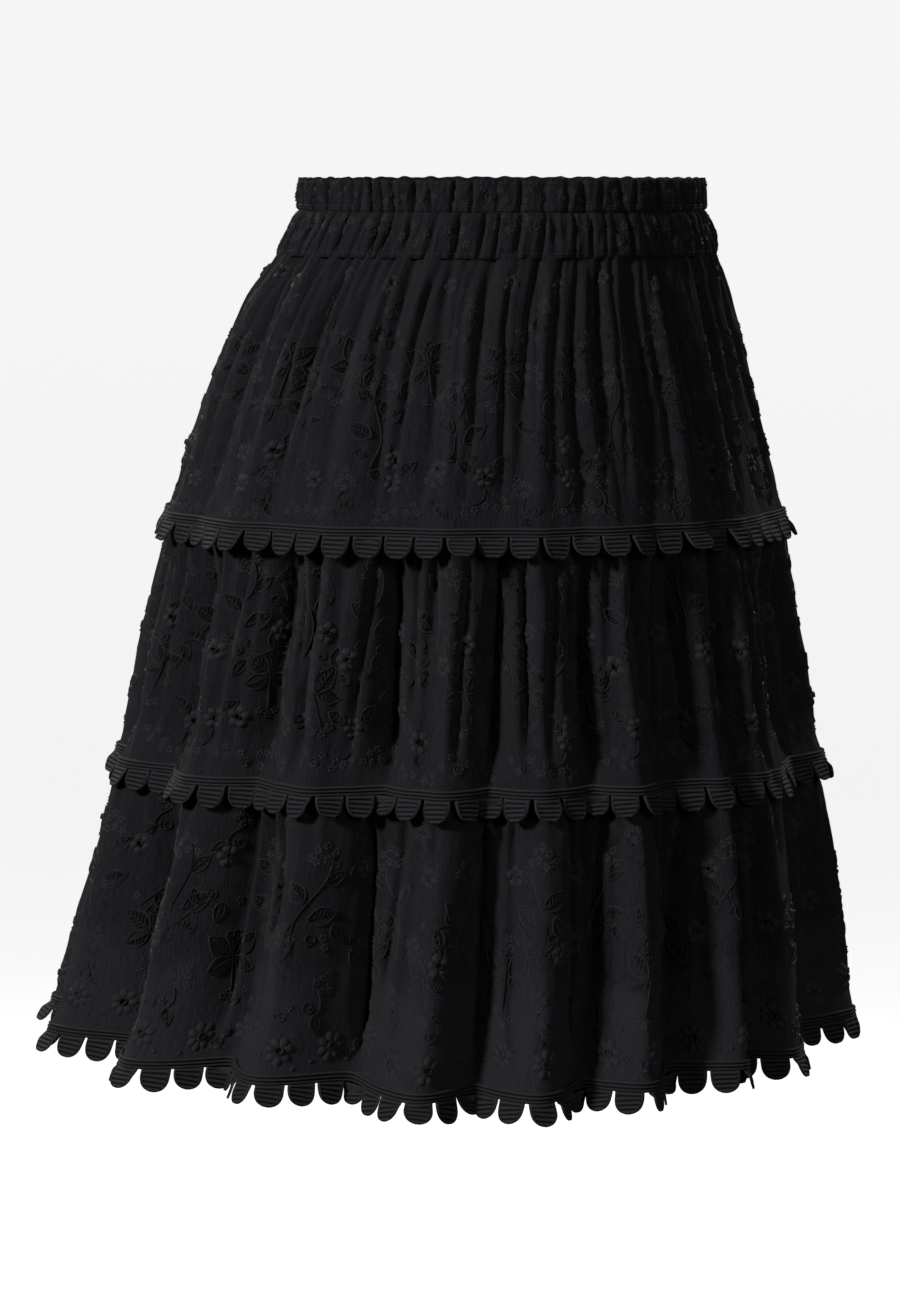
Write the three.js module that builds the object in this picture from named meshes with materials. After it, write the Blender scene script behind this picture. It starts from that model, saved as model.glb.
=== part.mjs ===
// A black three-tier mini skirt, worn but with no wearer in it: an elastic waistband, three gathered
// tiers, and a scalloped trim on both tier seams and on the hem.
// Millimetres, +Z up, the front faces -Y. The origin is the middle of the waistband's channel seam.
import * as THREE from "three";

// Heights of the seams and edges
const BAND_TOP = 17;
const CHANNEL_SEAM = 0;
const BAND_BOTTOM = -24;
const SEAM_1 = -165;
const SEAM_2 = -297;
const HEM = -437;

// Thickness of the cloth and the gaps between pieces
const CLOTH = 1.5;
const BAND_THICKNESS = 3;
const TRIM_THICKNESS = 1;
const SEAM_GAP = 0.3;
const TRIM_STANDOFF = 0.6;
// Least cosine of half a corner's turn for which a moved corner still keeps the full distance
const CORNER_LIMIT = 0.7;

// The trim: a corded header, and tabs that hang from it
const HEADER_HEIGHT = 5;
const TAB_LENGTH = 12;
const TAB_SPREAD = 2.4;
const TAB_SHAPE = [0, 0.88, 1, 0.88];

// Rings: height, reach of the cloth to each side of the waist's axis, and depth of the large flutes
const SECTIONS = [
  { z: BAND_TOP, left: 111, right: 111, front: 85, back: 88, flute: 0 },
  { z: CHANNEL_SEAM, left: 112, right: 112, front: 88, back: 90, flute: 0 },
  { z: BAND_BOTTOM, left: 125, right: 119, front: 94, back: 99, flute: 0 },
  { z: -48, left: 142, right: 126, front: 109, back: 113, flute: 1 },
  { z: -79, left: 157, right: 134, front: 121, back: 126, flute: 2 },
  { z: -109, left: 168, right: 142, front: 129, back: 135, flute: 3 },
  { z: -161, left: 184, right: 153, front: 140, back: 148, flute: 5 },
  { z: -191, left: 190, right: 158, front: 147, back: 154, flute: 7 },
  { z: -241, left: 203, right: 167, front: 157, back: 164, flute: 11 },
  { z: SEAM_2, left: 213, right: 176, front: 167, back: 173, flute: 15 },
  { z: -323, left: 220, right: 181, front: 176, back: 180, flute: 20 },
  { z: -378, left: 235, right: 188, front: 197, back: 195, flute: 27 },
  { z: HEM, left: 250, right: 193, front: 222, back: 210, flute: 33 },
];

// Large flutes, from the hip to the hem: angle of each ridge from the middle of the front, in degrees
// towards +X, its fullness, and how far its hem hangs below the rest
const FLUTES = [
  { angle: -168, fullness: 0.9, drop: 0 },
  { angle: -151, fullness: 1.1, drop: 1 },
  { angle: -134, fullness: 0.9, drop: 0 },
  { angle: -117, fullness: 1, drop: 2 },
  { angle: -97, fullness: 0.9, drop: 0 },
  { angle: -76, fullness: 1.1, drop: 1 },
  { angle: -49, fullness: 1.1, drop: 2 },
  { angle: -26, fullness: 1.1, drop: 0 },
  { angle: -4, fullness: 1, drop: 5 },
  { angle: 12, fullness: 0.7, drop: 6 },
  { angle: 27, fullness: 0.9, drop: 4 },
  { angle: 43.5, fullness: 0.9, drop: 0 },
  { angle: 54, fullness: 0.7, drop: 0 },
  { angle: 87, fullness: 1.2, drop: 0 },
  { angle: 106, fullness: 1, drop: 1 },
  { angle: 124, fullness: 1.1, drop: 0 },
  { angle: 141, fullness: 0.9, drop: 2 },
  { angle: 158, fullness: 1.1, drop: 0 },
  { angle: 175, fullness: 0.9, drop: 1 },
];
const FLUTE_ROUNDING = 0.1;

// Furrows between the gathers of tiers 1 and 2, across the front: angle, depth in millimetres and
// half width in degrees. The back has the same furrows, turned about the waist's axis.
const TIER_1_FURROWS = [
  { angle: -78, depth: 2.5, width: 3.5 },
  { angle: -63, depth: 3, width: 3.5 },
  { angle: -51, depth: 2.5, width: 3 },
  { angle: -41, depth: 4, width: 3 },
  { angle: -30, depth: 2.5, width: 3 },
  { angle: -20, depth: 4, width: 3 },
  { angle: -10, depth: 4, width: 2.8 },
  { angle: -2, depth: 3.5, width: 2.6 },
  { angle: 9, depth: 4, width: 2.8 },
  { angle: 15, depth: 3, width: 2.4 },
  { angle: 20, depth: 4, width: 2.4 },
  { angle: 27, depth: 5.5, width: 2.8 },
  { angle: 34, depth: 3.5, width: 2.6 },
  { angle: 40, depth: 3, width: 2.6 },
  { angle: 46, depth: 4, width: 2.6 },
  { angle: 53, depth: 2.5, width: 2.8 },
  { angle: 60, depth: 4, width: 3 },
  { angle: 71, depth: 3, width: 3.5 },
  { angle: 82, depth: 2.5, width: 3.5 },
];
const TIER_2_FURROWS = [
  { angle: -76, depth: 4, width: 3.5 },
  { angle: -61, depth: 5, width: 3.5 },
  { angle: -47, depth: 3.5, width: 3 },
  { angle: -38, depth: 6, width: 4 },
  { angle: -29, depth: 4, width: 2.8 },
  { angle: -23, depth: 3, width: 2.6 },
  { angle: -14, depth: 8, width: 3.6 },
  { angle: -6, depth: 4, width: 2.8 },
  { angle: 4, depth: 7, width: 3.2 },
  { angle: 14, depth: 4.5, width: 2.8 },
  { angle: 21, depth: 6, width: 3.4 },
  { angle: 30, depth: 4, width: 2.8 },
  { angle: 41, depth: 8, width: 3.4 },
  { angle: 57, depth: 5, width: 3 },
  { angle: 66, depth: 4, width: 2.8 },
  { angle: 75, depth: 4, width: 3 },
];
const BACK_TURN = 183;

// Small gathers under the lower seam, which open out into the flutes of tier 3
const TIER_3_GATHERS = 48;
const TIER_3_GATHER_DEPTH = 2.5;
const TIER_3_GATHER_REACH = 55;

// Seams: the gathered edge lies inside the edge above it, then the cloth puffs out to its full width
const SEAM_TUCK = 1.6;
const PUFF_REACH = 17;
const FURROW_AT_SEAM = 0.3;
const FURROW_AT_TRIM = 0.25;
const FURROW_FADE = 45;

// Heights of the rings of points in each tier
const TIER_1_HEIGHTS = [BAND_BOTTOM - SEAM_GAP, -42, -95, SEAM_1];
const TIER_2_HEIGHTS = [SEAM_1 - SEAM_GAP, -183, -240, SEAM_2];
const TIER_3_HEIGHTS = [SEAM_2 - SEAM_GAP, -316, -355, -397, HEM];

// Columns of points round each tier, and trim columns for each of them, four to a tab
const TIER_1_COLUMNS = 120;
const TIER_2_COLUMNS = 104;
const TIER_3_COLUMNS = 144;
const TRIM_1_STEPS = 2;
const TRIM_2_STEPS = 3;
const TRIM_HEM_STEPS = 3;

// Waistband: puckers raised on its outside, and the profile of its two channels
const BAND_PUCKERS = 60;
const BAND_PROFILE = [
  { z: BAND_TOP, inset: 0.9, pucker: 0.5 },
  { z: 9, inset: 0, pucker: 1 },
  { z: CHANNEL_SEAM, inset: 1.1, pucker: 0.6 },
  { z: -12, inset: 0, pucker: 1 },
  { z: BAND_BOTTOM, inset: 0.9, pucker: 0.6 },
];

const degrees = THREE.MathUtils.degToRad;
const smooth = THREE.MathUtils.smoothstep;

// A table's column at a height, on a smooth curve through its rows
function sectionValue(z, column) {
  const last = SECTIONS.length - 1;
  let row = 0;
  while (row < last - 1 && z < SECTIONS[row + 1].z) row += 1;
  const slopeAt = (index) => {
    const above = SECTIONS[Math.max(index - 1, 0)];
    const below = SECTIONS[Math.min(index + 1, last)];
    return (below[column] - above[column]) / (below.z - above.z);
  };
  const upper = SECTIONS[row];
  const lower = SECTIONS[row + 1];
  const span = lower.z - upper.z;
  const t = THREE.MathUtils.clamp((z - upper.z) / span, 0, 1);
  const bend = t * t * (3 - 2 * t);
  return (
    upper[column] * (1 - bend) +
    lower[column] * bend +
    span * slopeAt(row) * t * (1 - t) * (1 - t) -
    span * slopeAt(row + 1) * t * t * (1 - t)
  );
}

// Where an angle lies between two flute ridges: 0 and 1 on the ridges, 0.5 in the furrow
function fluteAt(angle) {
  const count = FLUTES.length;
  for (let index = 0; index < count; index += 1) {
    const start = FLUTES[index];
    const next = FLUTES[(index + 1) % count];
    const width = (next.angle - start.angle + 360) % 360;
    const offset = (angle - start.angle + 360) % 360;
    if (offset < width) {
      const phase = offset / width;
      const blend = smooth(phase, 0, 1);
      const fullness = THREE.MathUtils.lerp(start.fullness, next.fullness, blend);
      return { phase, fullness, drop: THREE.MathUtils.lerp(start.drop, next.drop, blend) };
    }
  }
  return { phase: 0, fullness: FLUTES[0].fullness, drop: FLUTES[0].drop };
}

function angleBetween(first, second) {
  return Math.abs(((first - second + 540) % 360) - 180);
}

// Depth of a tier's own furrows at an angle, before it fades towards the seams
function furrowDepth(angle, furrows) {
  let depth = 0;
  for (const furrow of furrows) {
    for (const middle of [furrow.angle, furrow.angle + BACK_TURN]) {
      const offset = angleBetween(angle, middle) / furrow.width;
      depth = Math.max(depth, furrow.depth * Math.exp(-offset * offset));
    }
  }
  return depth;
}

// A point of the skirt's outline: the ring at this height, with its flutes, and moved in by inset
function outlinePoint(angle, z, inset) {
  const { phase, fullness, drop } = fluteAt(angle);
  const wave = (1 - Math.cos(2 * Math.PI * phase)) / 2;
  const flute = sectionValue(z, "flute") * fullness;
  const turn = degrees(angle);
  const halfWidth = (sectionValue(z, "left") + sectionValue(z, "right")) / 2;
  const halfDepth = (sectionValue(z, "front") + sectionValue(z, "back")) / 2;
  const middleX = sectionValue(z, "right") - halfWidth;
  const middleY = halfDepth - sectionValue(z, "front");
  const along = new THREE.Vector2(halfWidth * Math.cos(turn), halfDepth * Math.sin(turn)).normalize();
  const slide = flute * FLUTE_ROUNDING * Math.sin(2 * Math.PI * phase);
  const inward = flute * wave + inset;
  return new THREE.Vector3(
    middleX + halfWidth * Math.sin(turn) + along.x * slide - along.y * inward,
    middleY - halfDepth * Math.cos(turn) + along.y * slide + along.x * inward,
    z - drop * smooth(SEAM_2 - z, 0, SEAM_2 - HEM),
  );
}

function angleOfColumn(column, columns) {
  return -180 + (360 * column) / columns;
}

// A ring moved out by a distance, or in where it is negative. A corner moves further than a straight
// stretch, so that the cloth keeps its distance on both sides of it.
function movedRing(ring, distance) {
  const count = ring.length;
  return ring.map((point, index) => {
    const before = ring[(index + count - 1) % count];
    const after = ring[(index + 1) % count];
    const arriving = new THREE.Vector2(point.x - before.x, point.y - before.y).normalize();
    const leaving = new THREE.Vector2(after.x - point.x, after.y - point.y).normalize();
    const along = arriving.clone().add(leaving).normalize();
    const reach = distance / Math.max(along.dot(arriving), CORNER_LIMIT);
    return new THREE.Vector3(point.x + along.y * reach, point.y - along.x * reach, point.z);
  });
}

// A closed wall between an outer and an inner grid of points, rows from the top down
function wallGeometry(outer, inner, closed) {
  const rows = outer.length;
  const columns = outer[0].length;
  const points = [...outer.flat(), ...inner.flat()];
  const positions = new Float32Array(points.flatMap((point) => point.toArray()));
  const outside = (row, column) => row * columns + (column % columns);
  const inside = (row, column) => rows * columns + outside(row, column);
  const faces = [];
  const quad = (a, b, c, d) => faces.push(a, b, c, a, c, d);
  const spans = closed ? columns : columns - 1;
  const bottom = rows - 1;
  for (let column = 0; column < spans; column += 1) {
    const next = column + 1;
    for (let row = 0; row < bottom; row += 1) {
      quad(outside(row, column), outside(row + 1, column), outside(row + 1, next), outside(row, next));
      quad(inside(row, column), inside(row, next), inside(row + 1, next), inside(row + 1, column));
    }
    quad(outside(0, column), outside(0, next), inside(0, next), inside(0, column));
    quad(outside(bottom, column), inside(bottom, column), inside(bottom, next), outside(bottom, next));
  }
  if (!closed) {
    const last = columns - 1;
    for (let row = 0; row < bottom; row += 1) {
      quad(outside(row, 0), inside(row, 0), inside(row + 1, 0), outside(row + 1, 0));
      quad(outside(row, last), outside(row + 1, last), inside(row + 1, last), inside(row, last));
    }
  }
  const geometry = new THREE.BufferGeometry();
  geometry.setAttribute("position", new THREE.BufferAttribute(positions, 3));
  geometry.setIndex(faces);
  geometry.computeVertexNormals();
  return geometry;
}

// The outer points of a tier, a ring for each height
function tierRings(columns, heights, insetAt) {
  return heights.map((z) => {
    const ring = [];
    for (let column = 0; column < columns; column += 1) {
      const angle = angleOfColumn(column, columns);
      ring.push(outlinePoint(angle, z, insetAt(angle, z)));
    }
    return ring;
  });
}

// The tuck of a gathered edge under the seam above it
function tuckAt(z, top) {
  return SEAM_TUCK * (1 - smooth(top - z, 0, PUFF_REACH));
}

// Furrows that open below the top seam and close towards the trim on the lower one
function gatheredInset(top, bottom, furrows) {
  return (angle, z) => {
    const opening = THREE.MathUtils.lerp(FURROW_AT_SEAM, 1, smooth(top - z, 0, PUFF_REACH));
    const closing = THREE.MathUtils.lerp(FURROW_AT_TRIM, 1, smooth(z - bottom, 0, FURROW_FADE));
    return tuckAt(z, top) + furrowDepth(angle, furrows) * opening * closing;
  };
}

function tier3Inset(angle, z) {
  const phase = (TIER_3_GATHERS * angle) / 360;
  const wave = (1 - Math.cos(2 * Math.PI * phase)) / 2;
  const fade = 1 - smooth(SEAM_2 - z, 0, TIER_3_GATHER_REACH);
  return tuckAt(z, SEAM_2) + TIER_3_GATHER_DEPTH * wave * fade;
}

// Half of a tier, from one side seam to the other, shortened by half a gap at each seam
function tierPanel(name, rings, side, material) {
  const count = rings[0].length;
  const first = side === "front" ? count / 4 : (3 * count) / 4;
  const slice = (ring) => {
    const part = [];
    for (let step = 0; step <= count / 2; step += 1) part.push(ring[(first + step) % count].clone());
    const pull = (end, neighbour) => {
      const towards = neighbour.clone().sub(end).setZ(0).setLength(SEAM_GAP / 2);
      end.add(towards);
    };
    pull(part[0], part[1]);
    pull(part[part.length - 1], part[part.length - 2]);
    return part;
  };
  const inner = rings.map((ring) => movedRing(ring, -CLOTH));
  return named(name, wallGeometry(rings.map(slice), inner.map(slice), false), material);
}

// A strip of trim on the lower edge of a tier, worked out from the tier's own points
function trimStrip(name, rings, steps, material) {
  const above = rings[rings.length - 2];
  const edge = rings[rings.length - 1];
  const count = edge.length;
  const panelHeight = above[0].z - edge[0].z;
  // The panel's surface at a height above its edge, or carried on below it, for each trim column
  const panelRing = (heightAt) => {
    const ring = [];
    for (let index = 0; index < count * steps; index += 1) {
      const column = Math.floor(index / steps);
      const next = (column + 1) % count;
      const share = (index % steps) / steps;
      const edgePoint = edge[column].clone().lerp(edge[next], share);
      const abovePoint = above[column].clone().lerp(above[next], share);
      ring.push(edgePoint.lerp(abovePoint, heightAt(index) / panelHeight));
    }
    return ring;
  };
  const tabShare = (index) => TAB_SHAPE[index % TAB_SHAPE.length];
  const top = movedRing(panelRing(() => HEADER_HEIGHT), TRIM_STANDOFF);
  const hanging = panelRing((index) => -TAB_LENGTH * tabShare(index));
  const near = movedRing(hanging, TRIM_STANDOFF);
  const spread = movedRing(hanging, TRIM_STANDOFF + TAB_SPREAD);
  const lower = near.map((point, index) => point.lerp(spread[index], tabShare(index)));
  const outer = [movedRing(top, TRIM_THICKNESS), movedRing(lower, TRIM_THICKNESS)];
  return named(name, wallGeometry(outer, [top, lower], true), material);
}

// The waistband: puckered channels outside, plain inside
function waistband(material) {
  const columns = 2 * BAND_PUCKERS;
  const ringOf = (row, insetAt) => {
    const ring = [];
    for (let column = 0; column < columns; column += 1) {
      ring.push(outlinePoint(angleOfColumn(column, columns), row.z, insetAt(row, column)));
    }
    return ring;
  };
  const pucker = (row, column) => row.inset + (column % 2) * row.pucker;
  const outer = BAND_PROFILE.map((row) => ringOf(row, pucker));
  const inner = BAND_PROFILE.map((row) => ringOf(row, () => BAND_THICKNESS));
  return named("waistband", wallGeometry(outer, inner, true), material);
}

function named(name, geometry, material) {
  const mesh = new THREE.Mesh(geometry, material);
  mesh.name = name;
  return mesh;
}

const black = { roughness: 0.85, metalness: 0 };
const cloth = new THREE.MeshStandardMaterial({ color: 0x1c1c1e, ...black, name: "cloth" });
const bandCloth = new THREE.MeshStandardMaterial({ color: 0x1a1a1c, ...black, name: "waistband_cloth" });
const cord = new THREE.MeshStandardMaterial({ color: 0x242426, ...black, name: "lace_trim" });

const tier1Inset = gatheredInset(BAND_BOTTOM, SEAM_1, TIER_1_FURROWS);
const tier2Inset = gatheredInset(SEAM_1, SEAM_2, TIER_2_FURROWS);
const tier1 = tierRings(TIER_1_COLUMNS, TIER_1_HEIGHTS, tier1Inset);
const tier2 = tierRings(TIER_2_COLUMNS, TIER_2_HEIGHTS, tier2Inset);
const tier3 = tierRings(TIER_3_COLUMNS, TIER_3_HEIGHTS, tier3Inset);

const skirt = new THREE.Group();
skirt.add(waistband(bandCloth));
for (const side of ["front", "back"]) {
  skirt.add(tierPanel(`tier_1_${side}`, tier1, side, cloth));
  skirt.add(tierPanel(`tier_2_${side}`, tier2, side, cloth));
  skirt.add(tierPanel(`tier_3_${side}`, tier3, side, cloth));
}
skirt.add(trimStrip("trim_1", tier1, TRIM_1_STEPS, cord));
skirt.add(trimStrip("trim_2", tier2, TRIM_2_STEPS, cord));
skirt.add(trimStrip("trim_hem", tier3, TRIM_HEM_STEPS, cord));

export default skirt;
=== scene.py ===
# A black three-tier mini skirt, worn but with no wearer in it: thin gathered cloth, a puckered elastic
# waistband, scalloped corded trim and raised tone-on-tone embroidery, in a white studio.
# The tables are in millimetres and degrees, and a height is measured up from the waistband's channel seam.
import math
import random

import bpy
import numpy as np
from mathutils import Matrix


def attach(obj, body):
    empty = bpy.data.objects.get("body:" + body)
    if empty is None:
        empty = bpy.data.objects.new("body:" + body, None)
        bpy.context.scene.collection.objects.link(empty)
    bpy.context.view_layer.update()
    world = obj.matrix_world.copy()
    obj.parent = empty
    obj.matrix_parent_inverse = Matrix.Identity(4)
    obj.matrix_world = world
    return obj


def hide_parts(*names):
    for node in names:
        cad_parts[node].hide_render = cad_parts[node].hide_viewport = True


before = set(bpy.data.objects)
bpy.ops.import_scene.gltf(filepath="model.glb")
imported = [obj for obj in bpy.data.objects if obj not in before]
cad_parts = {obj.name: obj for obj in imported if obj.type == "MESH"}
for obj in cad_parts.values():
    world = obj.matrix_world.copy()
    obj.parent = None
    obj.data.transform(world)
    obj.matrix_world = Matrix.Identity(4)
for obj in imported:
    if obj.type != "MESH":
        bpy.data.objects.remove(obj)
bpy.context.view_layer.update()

MM = 0.001

# Heights of the seams and edges
BAND_TOP = 17.0
CHANNEL_SEAM = 0.0
BAND_BOTTOM = -24.0
SEAM_1 = -165.0
SEAM_2 = -297.0
HEM = -437.0

CLOTH = 0.7
BAND_THICKNESS = 2.6

# Rings: height, reach to the left, right, front and back of the waist's axis, depth of the flutes
SECTION_COLUMNS = ("z", "left", "right", "front", "back", "flute")
SECTION_ROWS = [
    (BAND_TOP, 111, 111, 85, 88, 0),
    (CHANNEL_SEAM, 112, 112, 88, 90, 0),
    (BAND_BOTTOM, 125, 119, 94, 99, 0),
    (-48, 142, 126, 109, 113, 1),
    (-79, 157, 134, 121, 126, 2),
    (-109, 168, 142, 129, 135, 3),
    (-161, 184, 153, 140, 148, 5),
    (-191, 190, 158, 147, 154, 7),
    (-241, 203, 167, 157, 164, 11),
    (SEAM_2, 213, 176, 167, 173, 15),
    (-323, 220, 181, 176, 180, 20),
    (-378, 235, 188, 197, 195, 27),
    (HEM, 250, 193, 222, 210, 33),
]
SECTIONS = dict(zip(SECTION_COLUMNS, np.array(SECTION_ROWS, float).T))

# Large flutes: angle of each ridge from the middle of the front towards +X, fullness, hang of its hem
FLUTE_ROWS = [
    (-168, 0.9, 0),
    (-151, 1.1, 1),
    (-134, 0.9, 0),
    (-117, 1, 2),
    (-97, 0.9, 0),
    (-76, 1.1, 1),
    (-49, 1.1, 2),
    (-26, 1.1, 0),
    (-4, 1, 5),
    (12, 0.7, 6),
    (27, 0.9, 4),
    (43.5, 0.9, 0),
    (54, 0.7, 0),
    (87, 1.2, 0),
    (106, 1, 1),
    (124, 1.1, 0),
    (141, 0.9, 2),
    (158, 1.1, 0),
    (175, 0.9, 1),
]
FLUTE_ROUNDING = 0.1
VALLEY_FLATNESS = 0.8

# Furrows between the gathers of tiers 1 and 2, across the front: angle, depth, half width in degrees.
# The back has the same furrows, turned about the waist's axis.
TIER_1_FURROWS = [
    (-78, 2.5, 3.5), (-63, 3, 3.5), (-51, 2.5, 3), (-41, 4, 3), (-30, 2.5, 3), (-20, 4, 3),
    (-10, 4, 2.8), (-2, 3.5, 2.6), (9, 4, 2.8), (15, 3, 2.4), (20, 4, 2.4), (27, 5.5, 2.8),
    (34, 3.5, 2.6), (40, 3, 2.6), (46, 4, 2.6), (53, 2.5, 2.8), (60, 4, 3), (71, 3, 3.5),
    (82, 2.5, 3.5),
]
TIER_2_FURROWS = [
    (-76, 4, 3.5), (-61, 5, 3.5), (-47, 3.5, 3), (-38, 6, 4), (-29, 4, 2.8), (-23, 3, 2.6),
    (-14, 8, 3.6), (-6, 4, 2.8), (4, 7, 3.2), (14, 4.5, 2.8), (21, 6, 3.4), (30, 4, 2.8),
    (41, 8, 3.4), (57, 5, 3), (66, 4, 2.8), (75, 4, 3),
]
BACK_TURN = 183.0
SEAM_TUCK = 1.6
PUFF_REACH = 17.0
FURROW_AT_SEAM = 0.3
FURROW_AT_TRIM = 0.25
FURROW_FADE = 30.0
FURROW_CORE = 0.75
FURROW_CORE_WIDTH = 0.38
TIER_3_GATHERS = 48
TIER_3_GATHER_DEPTH = 2.5
TIER_3_GATHER_REACH = 55.0


def smooth(value, low, high):
    """0 below low, 1 above high, and a smooth step between them."""
    t = np.clip((value - low) / (high - low), 0, 1)
    return t * t * (3 - 2 * t)


def section(z, column):
    """A column of SECTIONS at heights z, on a smooth curve through its rows."""
    heights = SECTIONS["z"]
    values = SECTIONS[column]
    rise = np.r_[values[1:], values[-1]] - np.r_[values[0], values[:-1]]
    run = np.r_[heights[1:], heights[-1]] - np.r_[heights[0], heights[:-1]]
    slope = rise / run
    row = np.clip(np.searchsorted(-heights, -np.asarray(z, float), side="right") - 1, 0, len(heights) - 2)
    span = heights[row + 1] - heights[row]
    t = np.clip((z - heights[row]) / span, 0, 1)
    bend = t * t * (3 - 2 * t)
    return (
        values[row] * (1 - bend)
        + values[row + 1] * bend
        + span * slope[row] * t * (1 - t) ** 2
        - span * slope[row + 1] * t * t * (1 - t)
    )


def flutes_at(angle):
    """Phase between two ridges, 0 on a ridge and 0.5 in a furrow, with the fullness and hang there."""
    rows = np.array(FLUTE_ROWS, float)
    ridges = np.r_[rows[-1, 0] - 360, rows[:, 0], rows[0, 0] + 360]
    fullness = np.r_[rows[-1, 1], rows[:, 1], rows[0, 1]]
    hang = np.r_[rows[-1, 2], rows[:, 2], rows[0, 2]]
    index = np.clip(np.searchsorted(ridges, angle, side="right") - 1, 0, len(ridges) - 2)
    phase = (angle - ridges[index]) / (ridges[index + 1] - ridges[index])
    blend = smooth(phase, 0, 1)
    return (
        phase,
        fullness[index] * (1 - blend) + fullness[index + 1] * blend,
        hang[index] * (1 - blend) + hang[index + 1] * blend,
    )


def outline(angle, z, inset):
    """Points of the skirt's outline: the rings with their flutes, moved in by inset."""
    angle = (angle + 180) % 360 - 180
    phase, fullness, hang = flutes_at(angle)
    wave = ((1 - np.cos(2 * np.pi * phase)) / 2) ** VALLEY_FLATNESS
    flute = section(z, "flute") * fullness
    turn = np.radians(angle)
    half_width = (section(z, "left") + section(z, "right")) / 2
    half_depth = (section(z, "front") + section(z, "back")) / 2
    middle_x = section(z, "right") - half_width
    middle_y = half_depth - section(z, "front")
    along_x = half_width * np.cos(turn)
    along_y = half_depth * np.sin(turn)
    length = np.hypot(along_x, along_y)
    along_x = along_x / length
    along_y = along_y / length
    slide = flute * FLUTE_ROUNDING * np.sin(2 * np.pi * phase)
    inward = flute * wave + inset
    return np.stack(
        [
            middle_x + half_width * np.sin(turn) + along_x * slide - along_y * inward,
            middle_y - half_depth * np.cos(turn) + along_y * slide + along_x * inward,
            z - hang * smooth(SEAM_2 - z, 0, SEAM_2 - HEM),
        ],
        axis=-1,
    )


def apart(first, second):
    """How far two angles are from each other, from -180 to 180."""
    return (first - second + 180) % 360 - 180


def furrow_depth(angle, rows, wander):
    """Depth of the furrows at each angle: soft troughs with a narrow core; the deepest counts."""
    depth = np.zeros_like(angle)
    for middle, deep, width in rows:
        for turned in (middle, middle + BACK_TURN):
            offset = apart(angle, turned + wander) / width
            trough = np.exp(-offset * offset) + FURROW_CORE * np.exp(-((offset / FURROW_CORE_WIDTH) ** 2))
            depth = np.maximum(depth, deep * trough)
    return depth


GATHER_REACH = 42
GATHER_RUNS = (0.45, 0.7, 1.0, 1.5, 2.3)
GATHER_SIZES = (0.3, 1)
GATHER_WIDTHS = (0.65, 1.2)
GATHER_SPREAD = 0.35
GATHER_LEAN = 0.035
GATHER_OPENING = 0.7


def small_gathers(angle, below, seed, count, deep, width):
    """Short uneven gathers that start at a seam and run out below it."""
    draw = random.Random(seed)
    depth = np.zeros_like(angle)
    for index in range(count):
        middle = 360 * (index + draw.uniform(-GATHER_SPREAD, GATHER_SPREAD)) / count
        size = draw.uniform(*GATHER_SIZES)
        lean = draw.uniform(-GATHER_LEAN, GATHER_LEAN)
        run = GATHER_REACH * draw.choice(GATHER_RUNS)
        slim = width * draw.uniform(*GATHER_WIDTHS)
        opened = slim * (1 + GATHER_OPENING * below / GATHER_REACH)
        offset = apart(angle, middle + lean * below) / opened
        depth = depth + deep * size * np.exp(-offset * offset) * np.exp(-((below / run) ** 2))
    return depth


PATCH_ROWS = 64


def patches(angle, z, cells, tall, seed):
    """Smooth random hills from -1 to 1 that close on themselves round the skirt."""
    draws = np.random.default_rng(seed).uniform(-1, 1, (PATCH_ROWS, cells))
    column = ((angle + 180) % 360) / 360 * cells
    row = (BAND_TOP - z) / tall
    left = np.floor(column).astype(int)
    upper = np.floor(row).astype(int)
    u = smooth(column - left, 0, 1)
    v = smooth(row - upper, 0, 1)
    lower = (upper + 1) % PATCH_ROWS
    upper = upper % PATCH_ROWS
    right = (left + 1) % cells
    left = left % cells
    first = draws[upper, left] * (1 - u) + draws[upper, right] * u
    second = draws[lower, left] * (1 - u) + draws[lower, right] * u
    return first * (1 - v) + second * v


# Crushing of the washed cloth: patches round the skirt, height of a patch, depth, seed
CRUSH_ROWS = [(46, 60, 1.0, 1), (112, 34, 0.75, 2), (210, 19, 0.5, 3), (330, 9, 0.22, 4)]
CRUSH_DEPTH = 1.4
CRUSH_SLANT = 2.5
CRUSH_SWING = 37


def crushed(angle, z):
    """The uneven surface of washed cloth, in millimetres inwards."""
    depth = np.zeros_like(angle)
    for cells, tall, deep, seed in CRUSH_ROWS:
        slanted = angle + CRUSH_SLANT * np.sin(z / CRUSH_SWING + seed)
        depth = depth + deep * np.abs(patches(slanted, z, cells, tall, seed)) * CRUSH_DEPTH
    return depth


CREASE_DEPTH = 2.7
CREASE_WIDTH = 0.85
CREASE_START = 12
CREASE_END = 25


def creases(angle, z, rows):
    """Main creases, given one by one: soft troughs that start and end within the cloth."""
    depth = np.zeros_like(angle)
    for middle, top, bottom, deep, width, lean in rows:
        along = np.clip((top - z) / (top - bottom), 0, 1)
        offset = apart(angle, middle + lean * along) / (CREASE_WIDTH * width)
        inside = smooth(top - z, 0, CREASE_START) * smooth(z - bottom, 0, CREASE_END)
        depth = depth + deep * inside * np.exp(-offset * offset)
    return depth


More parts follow.
